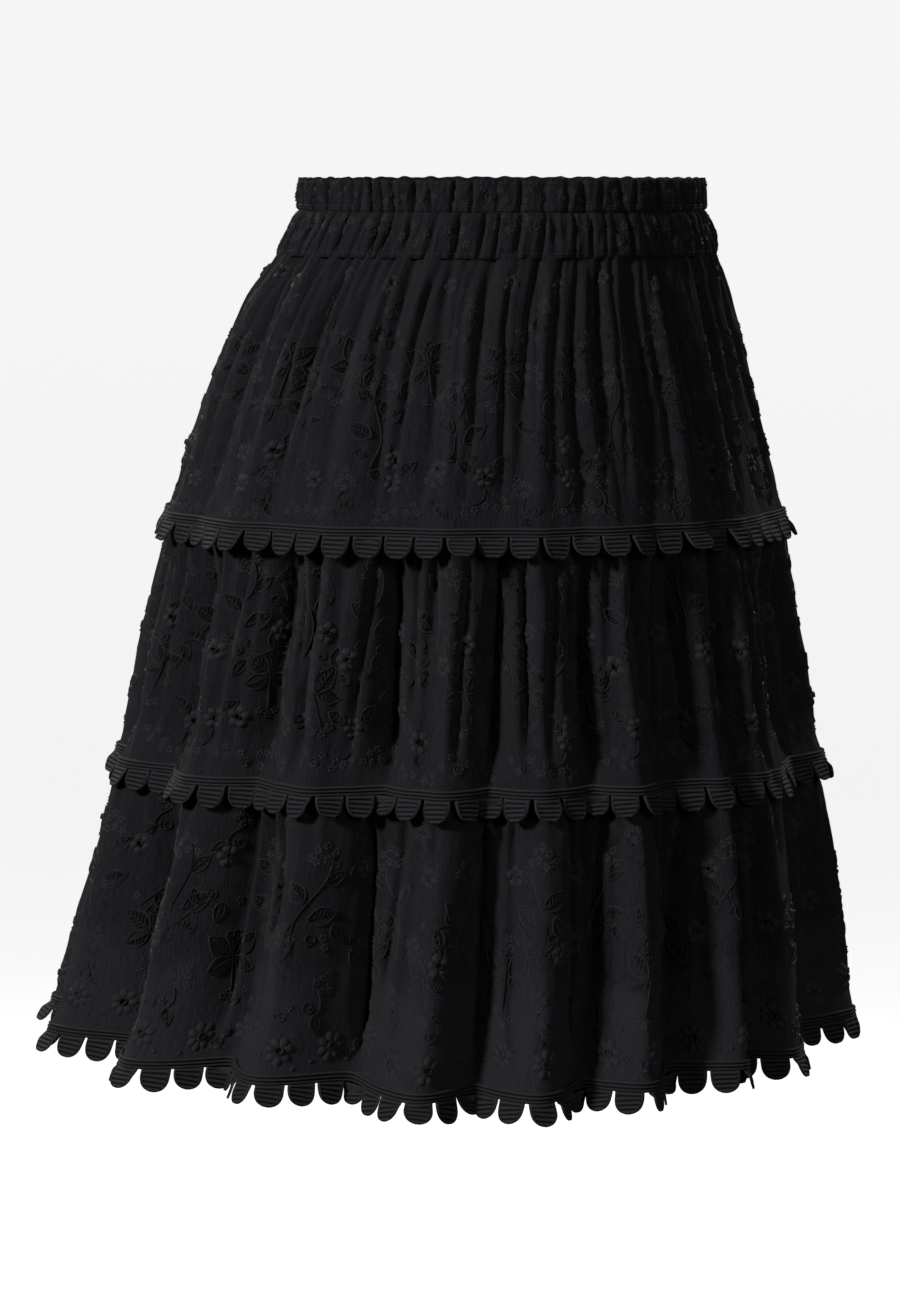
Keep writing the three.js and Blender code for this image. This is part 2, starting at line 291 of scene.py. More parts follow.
# Creases: angle, top and bottom height, depth, half width and lean in degrees
TIER_1_CREASES = [
    (-68, -30, -150, 1.2, 1.3, -2), (-46, -28, -120, 1.4, 1.2, 1.5), (-36, -30, -150, 1.1, 1.1, -2.5),
    (-25, -26, -110, 1.3, 1.0, 2), (-15, -28, -160, 1.6, 1.0, -1.5), (-6, -26, -140, 1.2, 0.9, 2),
    (4, -26, -160, 1.6, 1.0, 1), (12, -28, -120, 1.1, 0.8, -1), (24, -26, -150, 1.5, 0.9, 1.5),
    (30.5, -30, -160, 1.4, 0.8, -1), (37, -26, -120, 1.2, 0.9, 1), (49.5, -28, -150, 1.3, 1.0, 1.5),
    (66, -30, -150, 1.4, 1.2, 2), (100, -28, -130, 1.3, 1.2, -1), (121, -26, -160, 1.5, 1.2, 2),
    (139, -30, -140, 1.2, 1.1, -2), (157, -26, -150, 1.4, 1.0, 1), (171, -28, -160, 1.5, 1.0, -1),
    (-173, -26, -130, 1.3, 1.0, 1), (-158, -30, -160, 1.5, 1.1, -1.5), (-141, -26, -140, 1.4, 1.1, 2),
    (-123, -28, -150, 1.3, 1.2, -1), (-104, -28, -150, 1.4, 1.2, 1),
]
TIER_2_CREASES = [
    (-69, -170, -290, 1.8, 1.3, -1.5), (-54, -168, -270, 1.6, 1.2, 2), (-42.5, -170, -290, 1.6, 1.2, -2),
    (-33, -168, -250, 1.5, 1.0, 1.5), (-18.5, -172, -292, 2.0, 1.0, -2.5), (-10, -168, -270, 1.8, 1.0, 1),
    (-1, -170, -292, 2.0, 1.0, -1.5), (9, -168, -285, 1.8, 1.0, 2), (17.5, -170, -260, 1.4, 0.9, -1),
    (25.5, -168, -290, 1.9, 1.0, 1), (35, -170, -285, 2.0, 1.0, -2), (49, -168, -270, 1.7, 1.2, 2),
    (61.5, -170, -290, 1.5, 1.0, -1), (82, -170, -280, 1.6, 1.2, 1), (98, -168, -290, 1.8, 1.2, -1.5),
    (117, -170, -270, 1.7, 1.2, 2), (131, -168, -292, 1.9, 1.2, -2), (149, -170, -280, 1.7, 1.1, 1),
    (164, -168, -290, 1.9, 1.1, -1), (-178, -170, -270, 1.7, 1.1, 1.5), (-160, -168, -290, 1.9, 1.1, -2),
    (-143, -170, -280, 1.6, 1.2, 1), (-126, -168, -290, 1.8, 1.2, 2), (-108, -170, -270, 1.6, 1.2, -1),
    (-90, -168, -290, 1.8, 1.2, 1),
]
TIER_3_CREASES = [
    (-83, -300, -420, 2.5, 1.5, -2), (-66, -302, -430, 3.0, 1.5, 2), (-57, -300, -400, 2.2, 1.3, -2),
    (-40, -300, -432, 3.2, 1.5, -2), (-31, -302, -380, 2.2, 1.2, 2), (-17, -300, -430, 3.4, 1.5, 2),
    (-9, -302, -400, 2.4, 1.1, -2), (2, -300, -432, 2.6, 1.2, 1), (8, -304, -420, 2.0, 1.0, 1),
    (16, -300, -430, 3.0, 1.2, 2), (23, -300, -410, 2.2, 1.0, -1), (31, -302, -430, 2.6, 1.1, 2),
    (39, -300, -400, 2.4, 1.1, -2), (48.5, -300, -430, 3.0, 1.2, 1), (62, -302, -430, 2.6, 1.3, 2),
    (77, -300, -410, 2.4, 1.3, -2), (96, -300, -430, 2.8, 1.4, 1), (113, -302, -420, 2.6, 1.4, -2),
    (130, -300, -430, 3.0, 1.4, 2), (150, -300, -410, 2.6, 1.4, -1), (167, -302, -430, 2.8, 1.4, 1),
    (-176, -300, -420, 2.8, 1.4, -2), (-159, -300, -430, 2.6, 1.4, 2), (-142, -302, -410, 2.8, 1.4, -1),
    (-125, -300, -430, 3.0, 1.4, 2), (-106, -300, -420, 2.6, 1.4, -2),
]
LEFT_SEAM = -90
RIGHT_SEAM = 90
SIDE_SEAM_PULL = 0.5
SIDE_SEAM_WIDTH = 0.5


def side_seams(angle):
    """The narrow pull of the two side seams."""
    left = np.exp(-((apart(angle, LEFT_SEAM) / SIDE_SEAM_WIDTH) ** 2))
    right = np.exp(-((apart(angle, RIGHT_SEAM) / SIDE_SEAM_WIDTH) ** 2))
    return SIDE_SEAM_PULL * (left + right)


def tuck(z, top):
    """The tuck of a gathered edge under the seam above it."""
    return SEAM_TUCK * (1 - smooth(top - z, 0, PUFF_REACH))


VALLEY_PLACE = 0.62
VALLEY_WIDTH = 0.26
UNDERCUT = 0.7
UNDERCUT_PLACE = 0.86
UNDERCUT_WIDTH = 0.065
VALLEY_START = 40
VALLEY_END = 34


def valleys(angle, z, top, bottom, deep):
    """Extra hollow between two large flutes, nearer the right one, whose left side it makes steep."""
    phase, fullness = flutes_at((angle + 180) % 360 - 180)[:2]
    hollow = np.exp(-(((phase - VALLEY_PLACE) / VALLEY_WIDTH) ** 2)) * fullness
    hollow = hollow + UNDERCUT * np.exp(-(((phase - UNDERCUT_PLACE) / UNDERCUT_WIDTH) ** 2))
    return deep * hollow * smooth(top - z, 0, VALLEY_START) * smooth(z - bottom, 0, VALLEY_END)


WANDER = 0.8
WANDER_SWING = 31
WANDER_TURN = 7
RELAX_FROM = 45
RELAX_TO = 125
EDGE_CALM = 20
CRUSH_CALM = 15
GATHER_WIDTH = 0.9


def gathered_inset(top, bottom, furrows, crease_rows, gathers, valley_depth, relax):
    """How far a gathered tier lies inside the outline, as a function of angle and height.
    Its small gathers are given as a seed, a count and a depth."""

    def inset(angle, z):
        opening = FURROW_AT_SEAM + (1 - FURROW_AT_SEAM) * smooth(top - z, 0, PUFF_REACH)
        closing = FURROW_AT_TRIM + (1 - FURROW_AT_TRIM) * smooth(z - bottom, 0, FURROW_FADE)
        below = top - z
        wander = WANDER * np.sin(below / WANDER_SWING + np.radians(angle) * WANDER_TURN)
        edge = smooth(z - bottom, 0, EDGE_CALM)
        relaxed = 1 - relax * smooth(below, RELAX_FROM, RELAX_TO)
        return (
            tuck(z, top)
            + furrow_depth(angle, furrows, wander) * opening * closing * relaxed
            + small_gathers(angle, below, *gathers, GATHER_WIDTH) * edge
            + CREASE_DEPTH * creases(angle, z, crease_rows) * edge * relaxed
            + valleys(angle, z, top, bottom, valley_depth)
            + crushed(angle, z) * smooth(z - bottom, 0, CRUSH_CALM)
            + side_seams(angle)
        )

    return inset


HEM_GATHERS = (33, 82, 3.6)
HEM_GATHER_WIDTH = 0.75
HEM_VALLEY_DEPTH = 9


def tier_3_inset(angle, z):
    """How far the last tier lies inside the outline."""
    below = SEAM_2 - z
    wave = (1 - np.cos(np.radians(TIER_3_GATHERS * angle))) / 2
    fade = 1 - smooth(below, 0, TIER_3_GATHER_REACH)
    return (
        tuck(z, SEAM_2)
        + TIER_3_GATHER_DEPTH * wave * fade
        + small_gathers(angle, below, *HEM_GATHERS, HEM_GATHER_WIDTH)
        + CREASE_DEPTH * creases(angle, z, TIER_3_CREASES)
        + valleys(angle, z, SEAM_2, HEM, HEM_VALLEY_DEPTH)
        + crushed(angle, z) * smooth(z - HEM, 0, CRUSH_CALM)
        + side_seams(angle)
    )


def unit(vectors):
    """The vectors with length 1."""
    return vectors / np.maximum(np.linalg.norm(vectors, axis=-1, keepdims=True), 1e-9)


class Panel:
    """A ring of cloth as a dense grid of points with normals, which other pieces are laid on."""

    def __init__(self, top, bottom, points):
        self.top = top
        self.bottom = bottom
        self.angles = np.linspace(-180, 180, points.shape[1], endpoint=False)
        self.points = points
        across = np.roll(self.points, -1, 1) - np.roll(self.points, 1, 1)
        down = np.gradient(self.points, axis=0)
        self.normals = unit(np.cross(down, across))
        self.downs = unit(down)

    def blend(self, grid, angle, share):
        """Values of a grid over the panel, at angles and at shares of the way down."""
        rows, columns = grid.shape[:2]
        column = ((angle + 180) % 360) / 360 * columns
        row = np.clip(share, 0, 1) * (rows - 1)
        left = np.floor(column).astype(int) % columns
        upper = np.minimum(np.floor(row).astype(int), rows - 2)
        u = (column - np.floor(column))[..., None]
        v = (row - upper)[..., None]
        right = (left + 1) % columns
        return (
            grid[upper, left] * (1 - u) * (1 - v)
            + grid[upper, right] * u * (1 - v)
            + grid[upper + 1, left] * (1 - u) * v
            + grid[upper + 1, right] * u * v
        )

    def at(self, angle, share, height):
        """Points on the cloth, lifted off it by a height."""
        normal = unit(self.blend(self.normals, angle, share))
        return self.blend(self.points, angle, share) + normal * np.asarray(height)[..., None]

    def ring(self, share):
        """The length round the cloth at a share of its height, as angles and lengths."""
        points = self.blend(self.points, self.angles, np.full_like(self.angles, share))
        steps = np.linalg.norm(np.roll(points, -1, 0) - points, axis=1)
        return np.r_[self.angles, 180.0], np.r_[0, np.cumsum(steps)]

    def slant(self):
        """The mean length of the cloth from its top edge to its bottom one."""
        lengths = np.linalg.norm(np.diff(self.points, axis=0), axis=2).sum(0)
        return float(lengths.mean())


def tier_panel(top, bottom, inset, columns, rows):
    """The panel of a tier, between two heights."""
    angle, z = np.meshgrid(np.linspace(-180, 180, columns, endpoint=False), np.linspace(top, bottom, rows))
    return Panel(top, bottom, outline(angle, z, inset(angle, z)))


def make_mesh(name, points, faces, uvs):
    """A smooth-shaded mesh object from points in millimetres, with a texture coordinate for each."""
    mesh = bpy.data.meshes.new(name)
    mesh.from_pydata((np.asarray(points) * MM).tolist(), [], [list(face) for face in faces])
    layer = mesh.uv_layers.new(name="cloth")
    corners = np.zeros(len(mesh.loops), int)
    mesh.loops.foreach_get("vertex_index", corners)
    layer.data.foreach_set("uv", np.asarray(uvs, float)[corners].ravel())
    mesh.polygons.foreach_set("use_smooth", np.ones(len(mesh.polygons), bool))
    mesh.update()
    piece = bpy.data.objects.new(name, mesh)
    bpy.context.scene.collection.objects.link(piece)
    return piece


def grid_quads(rows, columns, closed, start, flip):
    """The faces of a grid of points, whose columns close on themselves where closed is true."""
    steps = np.arange(columns if closed else columns - 1)
    row, column = np.meshgrid(np.arange(rows - 1), steps, indexing="ij")
    right = (column + 1) % columns
    corners = [row * columns + column, (row + 1) * columns + column]
    corners += [(row + 1) * columns + right, row * columns + right]
    quads = np.stack([corner.ravel() for corner in corners], axis=1) + start
    return quads[:, ::-1] if flip else quads


def shell_faces(rows, columns):
    """The faces of a thin ring of wall: an outer grid, an inner one after it, and the edges between."""
    count = rows * columns
    left = np.arange(columns)
    right = (left + 1) % columns
    low_left = left + (rows - 1) * columns
    low_right = right + (rows - 1) * columns
    top = np.stack([left, right, right + count, left + count], axis=1)
    bottom = np.stack([low_left, low_left + count, low_right + count, low_right], axis=1)
    outer = grid_quads(rows, columns, True, 0, False)
    inner = grid_quads(rows, columns, True, count, True)
    return np.concatenate([outer, inner, top, bottom])


def shell(name, outer, inner, uv_width, uv_height):
    """A closed ring of cloth between two grids of points."""
    rows, columns = outer.shape[:2]
    u, v = np.meshgrid(np.linspace(0, uv_width, columns), np.linspace(uv_height, 0, rows))
    uv = np.stack([u.ravel(), v.ravel()], axis=1)
    points = np.concatenate([outer.reshape(-1, 3), inner.reshape(-1, 3)])
    return make_mesh(name, points, shell_faces(rows, columns), np.concatenate([uv, uv]))


ALLOWANCE = 5.0


def tier(name, panel, above, lift, material, flat_width, rests_on, with_pieces):
    """A gathered tier: one tube of thin cloth, all round, with a seam allowance up inside the piece
    above it, at a height off that piece's panel. It shows the solids of its front and its back."""
    share = np.full_like(panel.angles, 1 - ALLOWANCE / (above.top - above.bottom))
    allowance = above.at(panel.angles, share, np.full_like(panel.angles, lift))
    outer = np.concatenate([allowance[None], panel.points])
    normals = np.concatenate([panel.normals[:1], panel.normals])
    height = panel.slant() + ALLOWANCE
    piece = shell(name, outer, outer - normals * CLOTH, flat_width, height)
    finish_piece(piece, material, [name + "_front", name + "_back"])


def finish_piece(piece, material, nodes):
    """Give a piece its material and its place in the table."""
    piece.data.materials.append(material)
    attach(piece, "root")
    if nodes:
        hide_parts(*nodes)


# The trim: a corded header with tabs below it
TAB_LENGTH = 12.0
TAB_WIDTH_SHARE = 0.93
TAB_CORDS = 5
CORD_ROWS = (0.0, 0.14, 0.5, 0.86)
CORD_LIFT = 1.0
BORDER_LIFT = 1.1
TRIM_STANDOFF = 0.7
TRIM_THICKNESS = 0.6
TAB_ROWS = TAB_CORDS * len(CORD_ROWS) + 1
# Places across a tab, from its left side to its right one
TAB_SIDES = (-1, -0.93, -0.8, -0.7, -0.35, 0, 0.35, 0.7, 0.8, 0.93, 1)
TAB_COLUMNS = len(TAB_SIDES)
TAB_ROUNDING = 3.4
TAB_SHARE_USED = 0.996
TAB_LENGTHS = (0.94, 1.06)
TAB_TILTS = (4, 13)
LIFTED_TABS = 0.08
LIFTED_TILTS = (8, 18)
TAB_TURN = 0.16
TAB_CURLS = (-0.6, 0.9)
TAB_STIFFNESS = 0.85
TAB_STIFF_FROM = 0.5
TAB_CUP = 0.5
TAB_LIFT = 0.1
TAB_RIM = 0.2
TAB_BORDER = (0.72, 0.88)
TAB_UV_WIDTH = 15.0
TAB_UV_CORDS = 5.2

# The header: steps along it for each tab, and how far it sways and reaches back
HEADER_STEPS = 5
HEADER_TWIST = 0.12
HEADER_TWIST_STEPS = 3
HEADER_BACK = 0.3

# Its profile from the top down: height above the cloth's edge and relief, then the place of each row
# in cords, which the shader turns into painted shade in the grooves between the cords
HEADER_PROFILE = [
    (5.0, 0.0), (4.7, 0.9), (4.1, 1.2), (3.5, 0.9), (3.2, 0.1), (2.9, 0.9), (2.3, 1.2),
    (1.7, 0.9), (1.4, 0.1), (1.1, 0.8), (0.5, 1.0), (-0.2, 0.2),
]
HEADER_CORDS = [0, 0.15, 0.5, 0.85, 1, 1.15, 1.5, 1.85, 2, 2.15, 2.5, 3]


def header_strip(panel, tabs):
    """The header's closed ring: two cords and the strip between them, along the cloth's edge."""
    columns = tabs * HEADER_STEPS
    angles, lengths = panel.ring(1)
    angle = np.interp(np.arange(columns) / columns * lengths[-1], lengths, angles)
    slant = panel.slant()
    outer = []
    inner = []
    for height, relief in HEADER_PROFILE:
        share = np.full(columns, 1 - height / slant)
        down = panel.blend(panel.downs, angle, share) * max(-height, 0)
        twist = HEADER_TWIST * np.sin(2 * np.pi * np.arange(columns) / HEADER_TWIST_STEPS)
        outer.append(panel.at(angle, share, TRIM_STANDOFF + relief + twist) + down)
        inner.append(panel.at(angle, share, np.full(columns, TRIM_STANDOFF - HEADER_BACK)) + down)
    return np.array(outer), np.array(inner), lengths[-1]


def tab_cords():
    """The places of a tab's rows, counted in cords from the header down."""
    rows = [cord + place for cord in range(TAB_CORDS) for place in CORD_ROWS]
    return np.array(rows + [float(TAB_CORDS)])


def tab_grids(panel, tabs, seed):
    """The front and back points of every tab of a trim."""
    draw = random.Random(seed)
    angles, lengths = panel.ring(1)
    pitch = lengths[-1] / tabs
    half = pitch * TAB_WIDTH_SHARE / 2
    across, down = np.meshgrid(TAB_SIDES, tab_cords() / TAB_CORDS * TAB_SHARE_USED)
    width = half * np.sqrt(1 - down**TAB_ROUNDING)
    border = smooth(np.abs(across), *TAB_BORDER)
    cords = np.sqrt(np.abs(np.sin(np.pi * TAB_CORDS * down)))
    relief = CORD_LIFT * cords * (1 - border) + BORDER_LIFT * border
    rim = np.ones_like(relief)
    rim[:, 0] = 0.0
    rim[:, -1] = 0.0
    rim[-1, :] = 0.0
    fronts = []
    backs = []
    for index in range(tabs):
        middle = (index + 0.5) * pitch
        length = TAB_LENGTH * draw.uniform(*TAB_LENGTHS)
        tilt = math.radians(draw.uniform(*TAB_TILTS))
        if draw.random() < LIFTED_TABS:
            tilt += math.radians(draw.uniform(*LIFTED_TILTS))
        turn = draw.uniform(-TAB_TURN, TAB_TURN)
        curl = draw.uniform(*TAB_CURLS)
        x = across * width
        angle = np.interp((middle + x) % lengths[-1], lengths, angles)
        share = np.ones_like(angle)
        follow = panel.at(angle, share, np.zeros_like(angle))
        centre_angle = np.array([np.interp(middle, lengths, angles)])
        one = np.array([1.0])
        centre = panel.at(centre_angle, one, np.zeros(1))[0]
        normal = unit(panel.blend(panel.normals, centre_angle, one))[0]
        fall = unit(panel.blend(panel.downs, centre_angle, one))[0]
        along = unit(np.cross(normal, fall))
        stiff = centre + along * x[..., None] + normal * (turn * x)[..., None]
        blend = (TAB_STIFFNESS * smooth(down, 0, TAB_STIFF_FROM))[..., None]
        fall_out = fall * math.cos(tilt) + normal * math.sin(tilt)
        body = follow * (1 - blend) + stiff * blend + fall_out * (down * length)[..., None]
        bow = curl * (down**2) - TAB_CUP * (across**2) * down * curl
        surface = body + normal * (TRIM_STANDOFF + TAB_LIFT + bow)[..., None]
        fronts.append(surface + normal * (relief * rim)[..., None])
        backs.append(surface - normal * TRIM_THICKNESS * (TAB_RIM + (1 - TAB_RIM) * rim)[..., None])
    return np.array(fronts), np.array(backs)


def closed_tab_faces():
    """The faces of one tab: its front grid, a plain back from side to side, and the edges between."""
    front = TAB_ROWS * TAB_COLUMNS
    faces = [tuple(face) for face in grid_quads(TAB_ROWS, TAB_COLUMNS, False, 0, False).tolist()]
    last = TAB_COLUMNS - 1
    for row in range(TAB_ROWS - 1):
        here = row * TAB_COLUMNS
        below = here + TAB_COLUMNS
        back = front + 2 * row
        faces.append((back, back + 1, back + 3, back + 2))
        faces.append((here, back, back + 2, below))
        faces.append((here + last, below + last, back + 3, back + 1))
    bottom = (TAB_ROWS - 1) * TAB_COLUMNS
    end = front + 2 * TAB_ROWS
    faces.append((*range(last, -1, -1), front, front + 1)[::-1])
    faces.append((*range(bottom, bottom + TAB_COLUMNS), end - 1, end - 2)[::-1])
    return faces


def trim(name, panel, tabs, seed, nodes):
    """A scalloped trim on the lower edge of a tier."""
    outer, inner, length = header_strip(panel, tabs)
    rows, columns = outer.shape[:2]
    points = [outer.reshape(-1, 3), inner.reshape(-1, 3)]
    faces = [shell_faces(rows, columns)]
    u, v = np.meshgrid(np.linspace(0, length, columns), HEADER_CORDS)
    header_uv = np.stack([u.ravel(), v.ravel()], axis=1)
    uvs = [header_uv, header_uv]
    fronts, backs = tab_grids(panel, tabs, seed)
    tab_faces = closed_tab_faces()
    tab_u, tab_v = np.meshgrid(np.linspace(0, TAB_UV_WIDTH, TAB_COLUMNS), tab_cords())
    # Off the middle of a tab the places sit halfway along a cord, so the border gets no painted groove
    # shade
    tab_v = np.where(np.abs(tab_u - TAB_UV_WIDTH / 2) > TAB_UV_CORDS, 0.5, tab_v)
    tab_uv = np.stack([tab_u.ravel(), tab_v.ravel()], axis=1)
    side_uv = np.repeat(tab_uv[::TAB_COLUMNS], 2, axis=0)
    faces = [tuple(face) for face in np.concatenate(faces).tolist()]
    start = 2 * rows * columns
    for front, back in zip(fronts, backs):
        points += [front.reshape(-1, 3), back[:, [0, -1]].reshape(-1, 3)]
        faces += [tuple(corner + start for corner in face) for face in tab_faces]
        uvs += [tab_uv, side_uv]
        start += TAB_ROWS * (TAB_COLUMNS + 2)
    piece = make_mesh(name, np.concatenate(points), faces, np.concatenate(uvs))
    finish_piece(piece, trim_material, nodes)
    return piece


# The waistband: two channels, each swelling between its stitched edges, with puckers across it
BAND_FLAT = (1050, 41)
BAND_COLUMNS = 1240
BAND_ROWS = 19
BAND_EDGE_GAP = 0.2
BAND_PUCKERS = 78
PUCKER_DEPTH = 4.6
PUCKER_AT_EDGE = 0.35
PUCKER_SIZES = (0.3, 1)
PUCKER_LEAN = 0.7
PUCKER_WIDTHS = (0.55, 1.1)
PUCKER_STEPS = (0.5, 1.5)
BAND_INSET = -1.4
CHANNEL_SWELL = 3.0
SWELL_ENDS = (0.02, 0.98)
SWELL_ROUNDING = 0.5
BAND_CRUSH = 1.7
BAND_CRUSH_STRETCH = 2.2
EDGE_PINCH = 1.6
EDGE_REACH = 5.5
SEAM_PINCH = 1.6
SEAM_PINCH_TURN = 1.7
SEAM_GROOVE = 1.5
SEAM_GROOVE_WIDTH = 0.9
# Waves of the top edge: height and count all round
RUFFLES = ((0.35, 47), (0.25, 83))
RUFFLE_REACH = 1
LINING_GAP = 1.0
LINING_DEPTH = 1.4
LINING_DROP = 0.2


def band_puckers(angle, seed, across):
    """The puckers of one channel: 1 on the puffs and less in the narrow valleys between them."""
    draw = random.Random(seed)
    valley = np.zeros_like(angle)
    place = -180.0
    while place < 180:
        size = draw.uniform(*PUCKER_SIZES)
        lean = draw.uniform(-PUCKER_LEAN, PUCKER_LEAN)
        offset = apart(angle, place + lean * across) / draw.uniform(*PUCKER_WIDTHS)
        valley = np.maximum(valley, size * np.exp(-offset * offset))
        place += 360 / BAND_PUCKERS * draw.uniform(*PUCKER_STEPS)
    return 1 - valley


def band_heights():
    """The heights of the waistband's rows of points, with three close ones at the channel seam."""
    upper = (BAND_ROWS + 1) // 2
    above = np.linspace(BAND_TOP, CHANNEL_SEAM + SEAM_GROOVE_WIDTH, upper)
    lowest = BAND_BOTTOM + BAND_EDGE_GAP
    below = np.linspace(CHANNEL_SEAM - SEAM_GROOVE_WIDTH, lowest, BAND_ROWS - upper + 1)
    return np.r_[above, CHANNEL_SEAM, below]


def band_inset(angle, z):
    """How far the waistband's outer side lies inside the outline."""
    in_top = z >= CHANNEL_SEAM
    share = np.where(in_top, z / BAND_TOP, (z - BAND_BOTTOM) / (CHANNEL_SEAM - BAND_BOTTOM))
    share = np.clip(share, 0, 1)
    across = 2 * share - 1
    swell = np.sin(np.pi * np.clip(share, *SWELL_ENDS)) ** SWELL_ROUNDING
    pucker = np.where(in_top, band_puckers(angle, 11, across), band_puckers(angle, 12, across))
    seam_pucker = band_puckers(angle + SEAM_PINCH_TURN, 14, 0)
    return (
        BAND_INSET
        + CHANNEL_SWELL * (1 - swell)
        + PUCKER_DEPTH * (1 - pucker) * (PUCKER_AT_EDGE + (1 - PUCKER_AT_EDGE) * swell)
        + SEAM_PINCH * (1 - swell) * (1 - seam_pucker)
        + BAND_CRUSH * crushed(angle, z * BAND_CRUSH_STRETCH) * swell
        + EDGE_PINCH * (1 - smooth(z - BAND_BOTTOM, 0, EDGE_REACH))
        + SEAM_GROOVE * np.exp(-(((z - CHANNEL_SEAM) / SEAM_GROOVE_WIDTH) ** 2))
    )


def waistband():
    """The elastic waistband: two channels, puckered outside and plain inside, with its two panels."""
    angles = np.linspace(-180, 180, BAND_COLUMNS, endpoint=False)
    angle, z = np.meshgrid(angles, band_heights())
    inset = band_inset(angle, z)
    outer = outline(angle, z, inset)
    ruffle = sum(height * np.sin(np.radians(angle) * waves) for height, waves in RUFFLES)
    outer[..., 2] += np.where(z > BAND_TOP - RUFFLE_REACH, ruffle, 0)
    inner = outline(angle, z, np.maximum(inset + LINING_GAP, BAND_THICKNESS + LINING_DEPTH))
    inner[0, :, 2] = outer[0, :, 2] - LINING_DROP
    piece = shell("gathered_waistband", outer, inner, *BAND_FLAT)
    finish_piece(piece, band_material, ["waistband"])
    return piece, Panel(BAND_TOP, BAND_BOTTOM, outer), Panel(BAND_TOP, BAND_BOTTOM, inner)


# Rows of stitches on the waistband, as shares of its height
STITCH_ROWS = (0.05, 0.39, 0.43, 0.95)
STITCH_LENGTH = 2.6
STITCH_GAP = 0.9
STITCH_RADIUS = 0.36
STITCH_TIP = 0.45
STITCH_LIFT = 0.4
STITCH_UV_LENGTH = 3
# A stitch from end to end: share of its length, height as a share of its radius
STITCH_PROFILE = [(0, -0.1), (0.18, 0.8), (0.5, 1.0), (0.82, 0.8), (1, -0.1)]


def stitches(name, panel, shares):
    """Rows of thread stitches round a panel, each a short raised dash."""
    points = []
    faces = []
    uvs = []
    for share in shares:
        angles, lengths = panel.ring(share)
        count = int(lengths[-1] / (STITCH_LENGTH + STITCH_GAP))
        pitch = lengths[-1] / count
        for index in range(count):
            start = len(points)
            for along, lift in STITCH_PROFILE:
                place = index * pitch + along * (pitch - STITCH_GAP)
                angle = np.full(3, np.interp(place, lengths, angles))
                narrow = STITCH_TIP if lift < 0 else 1
                rise = np.array([0, lift + STITCH_LIFT, 0]) * STITCH_RADIUS
                spread = np.array([1, 0, -1]) * STITCH_RADIUS * narrow
                line = panel.at(angle, np.full(3, share), rise)
                line[:, 2] += spread
                points += line.tolist()
                uvs += [(along * STITCH_UV_LENGTH, side) for side in range(3)]
            for step in range(len(STITCH_PROFILE) - 1):
                for side in range(2):
                    corner = start + 3 * step + side
                    faces.append((corner, corner + 1, corner + 4, corner + 3))
    piece = make_mesh(name, points, faces, uvs)
    finish_piece(piece, thread_material, [])
    return piece


# Embroidery: how high threads and pads stand, how deep a thread's sides sink and how narrow it ends
THREAD_LIFT = 2.1
THREAD_SINK = -0.15
THREAD_TIP = 0.4
PAD_LIFT = 1.0
# Rings of a pad from its middle out: share of its size, share of its height
PAD_RINGS = ((0.62, 0.82), (1.0, -0.1))

# Width and height of each kind of thread
STEM = (0.8, 0.45)
VINE_STEM = (0.85, 0.42)
TWIG = (0.7, 0.42)
CURL = (0.6, 0.4)
THICK_CURL = (0.7, 0.4)
LEAF_EDGE = (0.95, 0.42)
LEAF_RIB = (0.6, 0.4)
LEAF_VEIN = (0.7, 0.34)

# Flowers, as shares of their radius
PETAL_PLACE = 0.6
PETAL_LENGTH = 0.44
PETAL_FULLNESS = 1.22
EYELET_SIZE = 0.25
EYELET_WIDTH = 0.17
EYELET_HEIGHT = 0.9
EYELET_STEPS = 10
BLOSSOM_PETALS = 5
BLOSSOM_PLACE = 0.58
BLOSSOM_LENGTH = 0.5
BLOSSOM_WIDTH = 0.42
BLOSSOM_HEIGHT = 0.9

# Leaves, as shares of their length or width
LEAF_STEPS = 9
LEAF_TAPER = 0.85
RIB_END = 0.88
VEIN_START = 0.2
VEIN_SPREAD = 0.55
VEIN_AHEAD = 0.12
VEIN_REACH = 0.36
VEIN_LEAN = 0.75


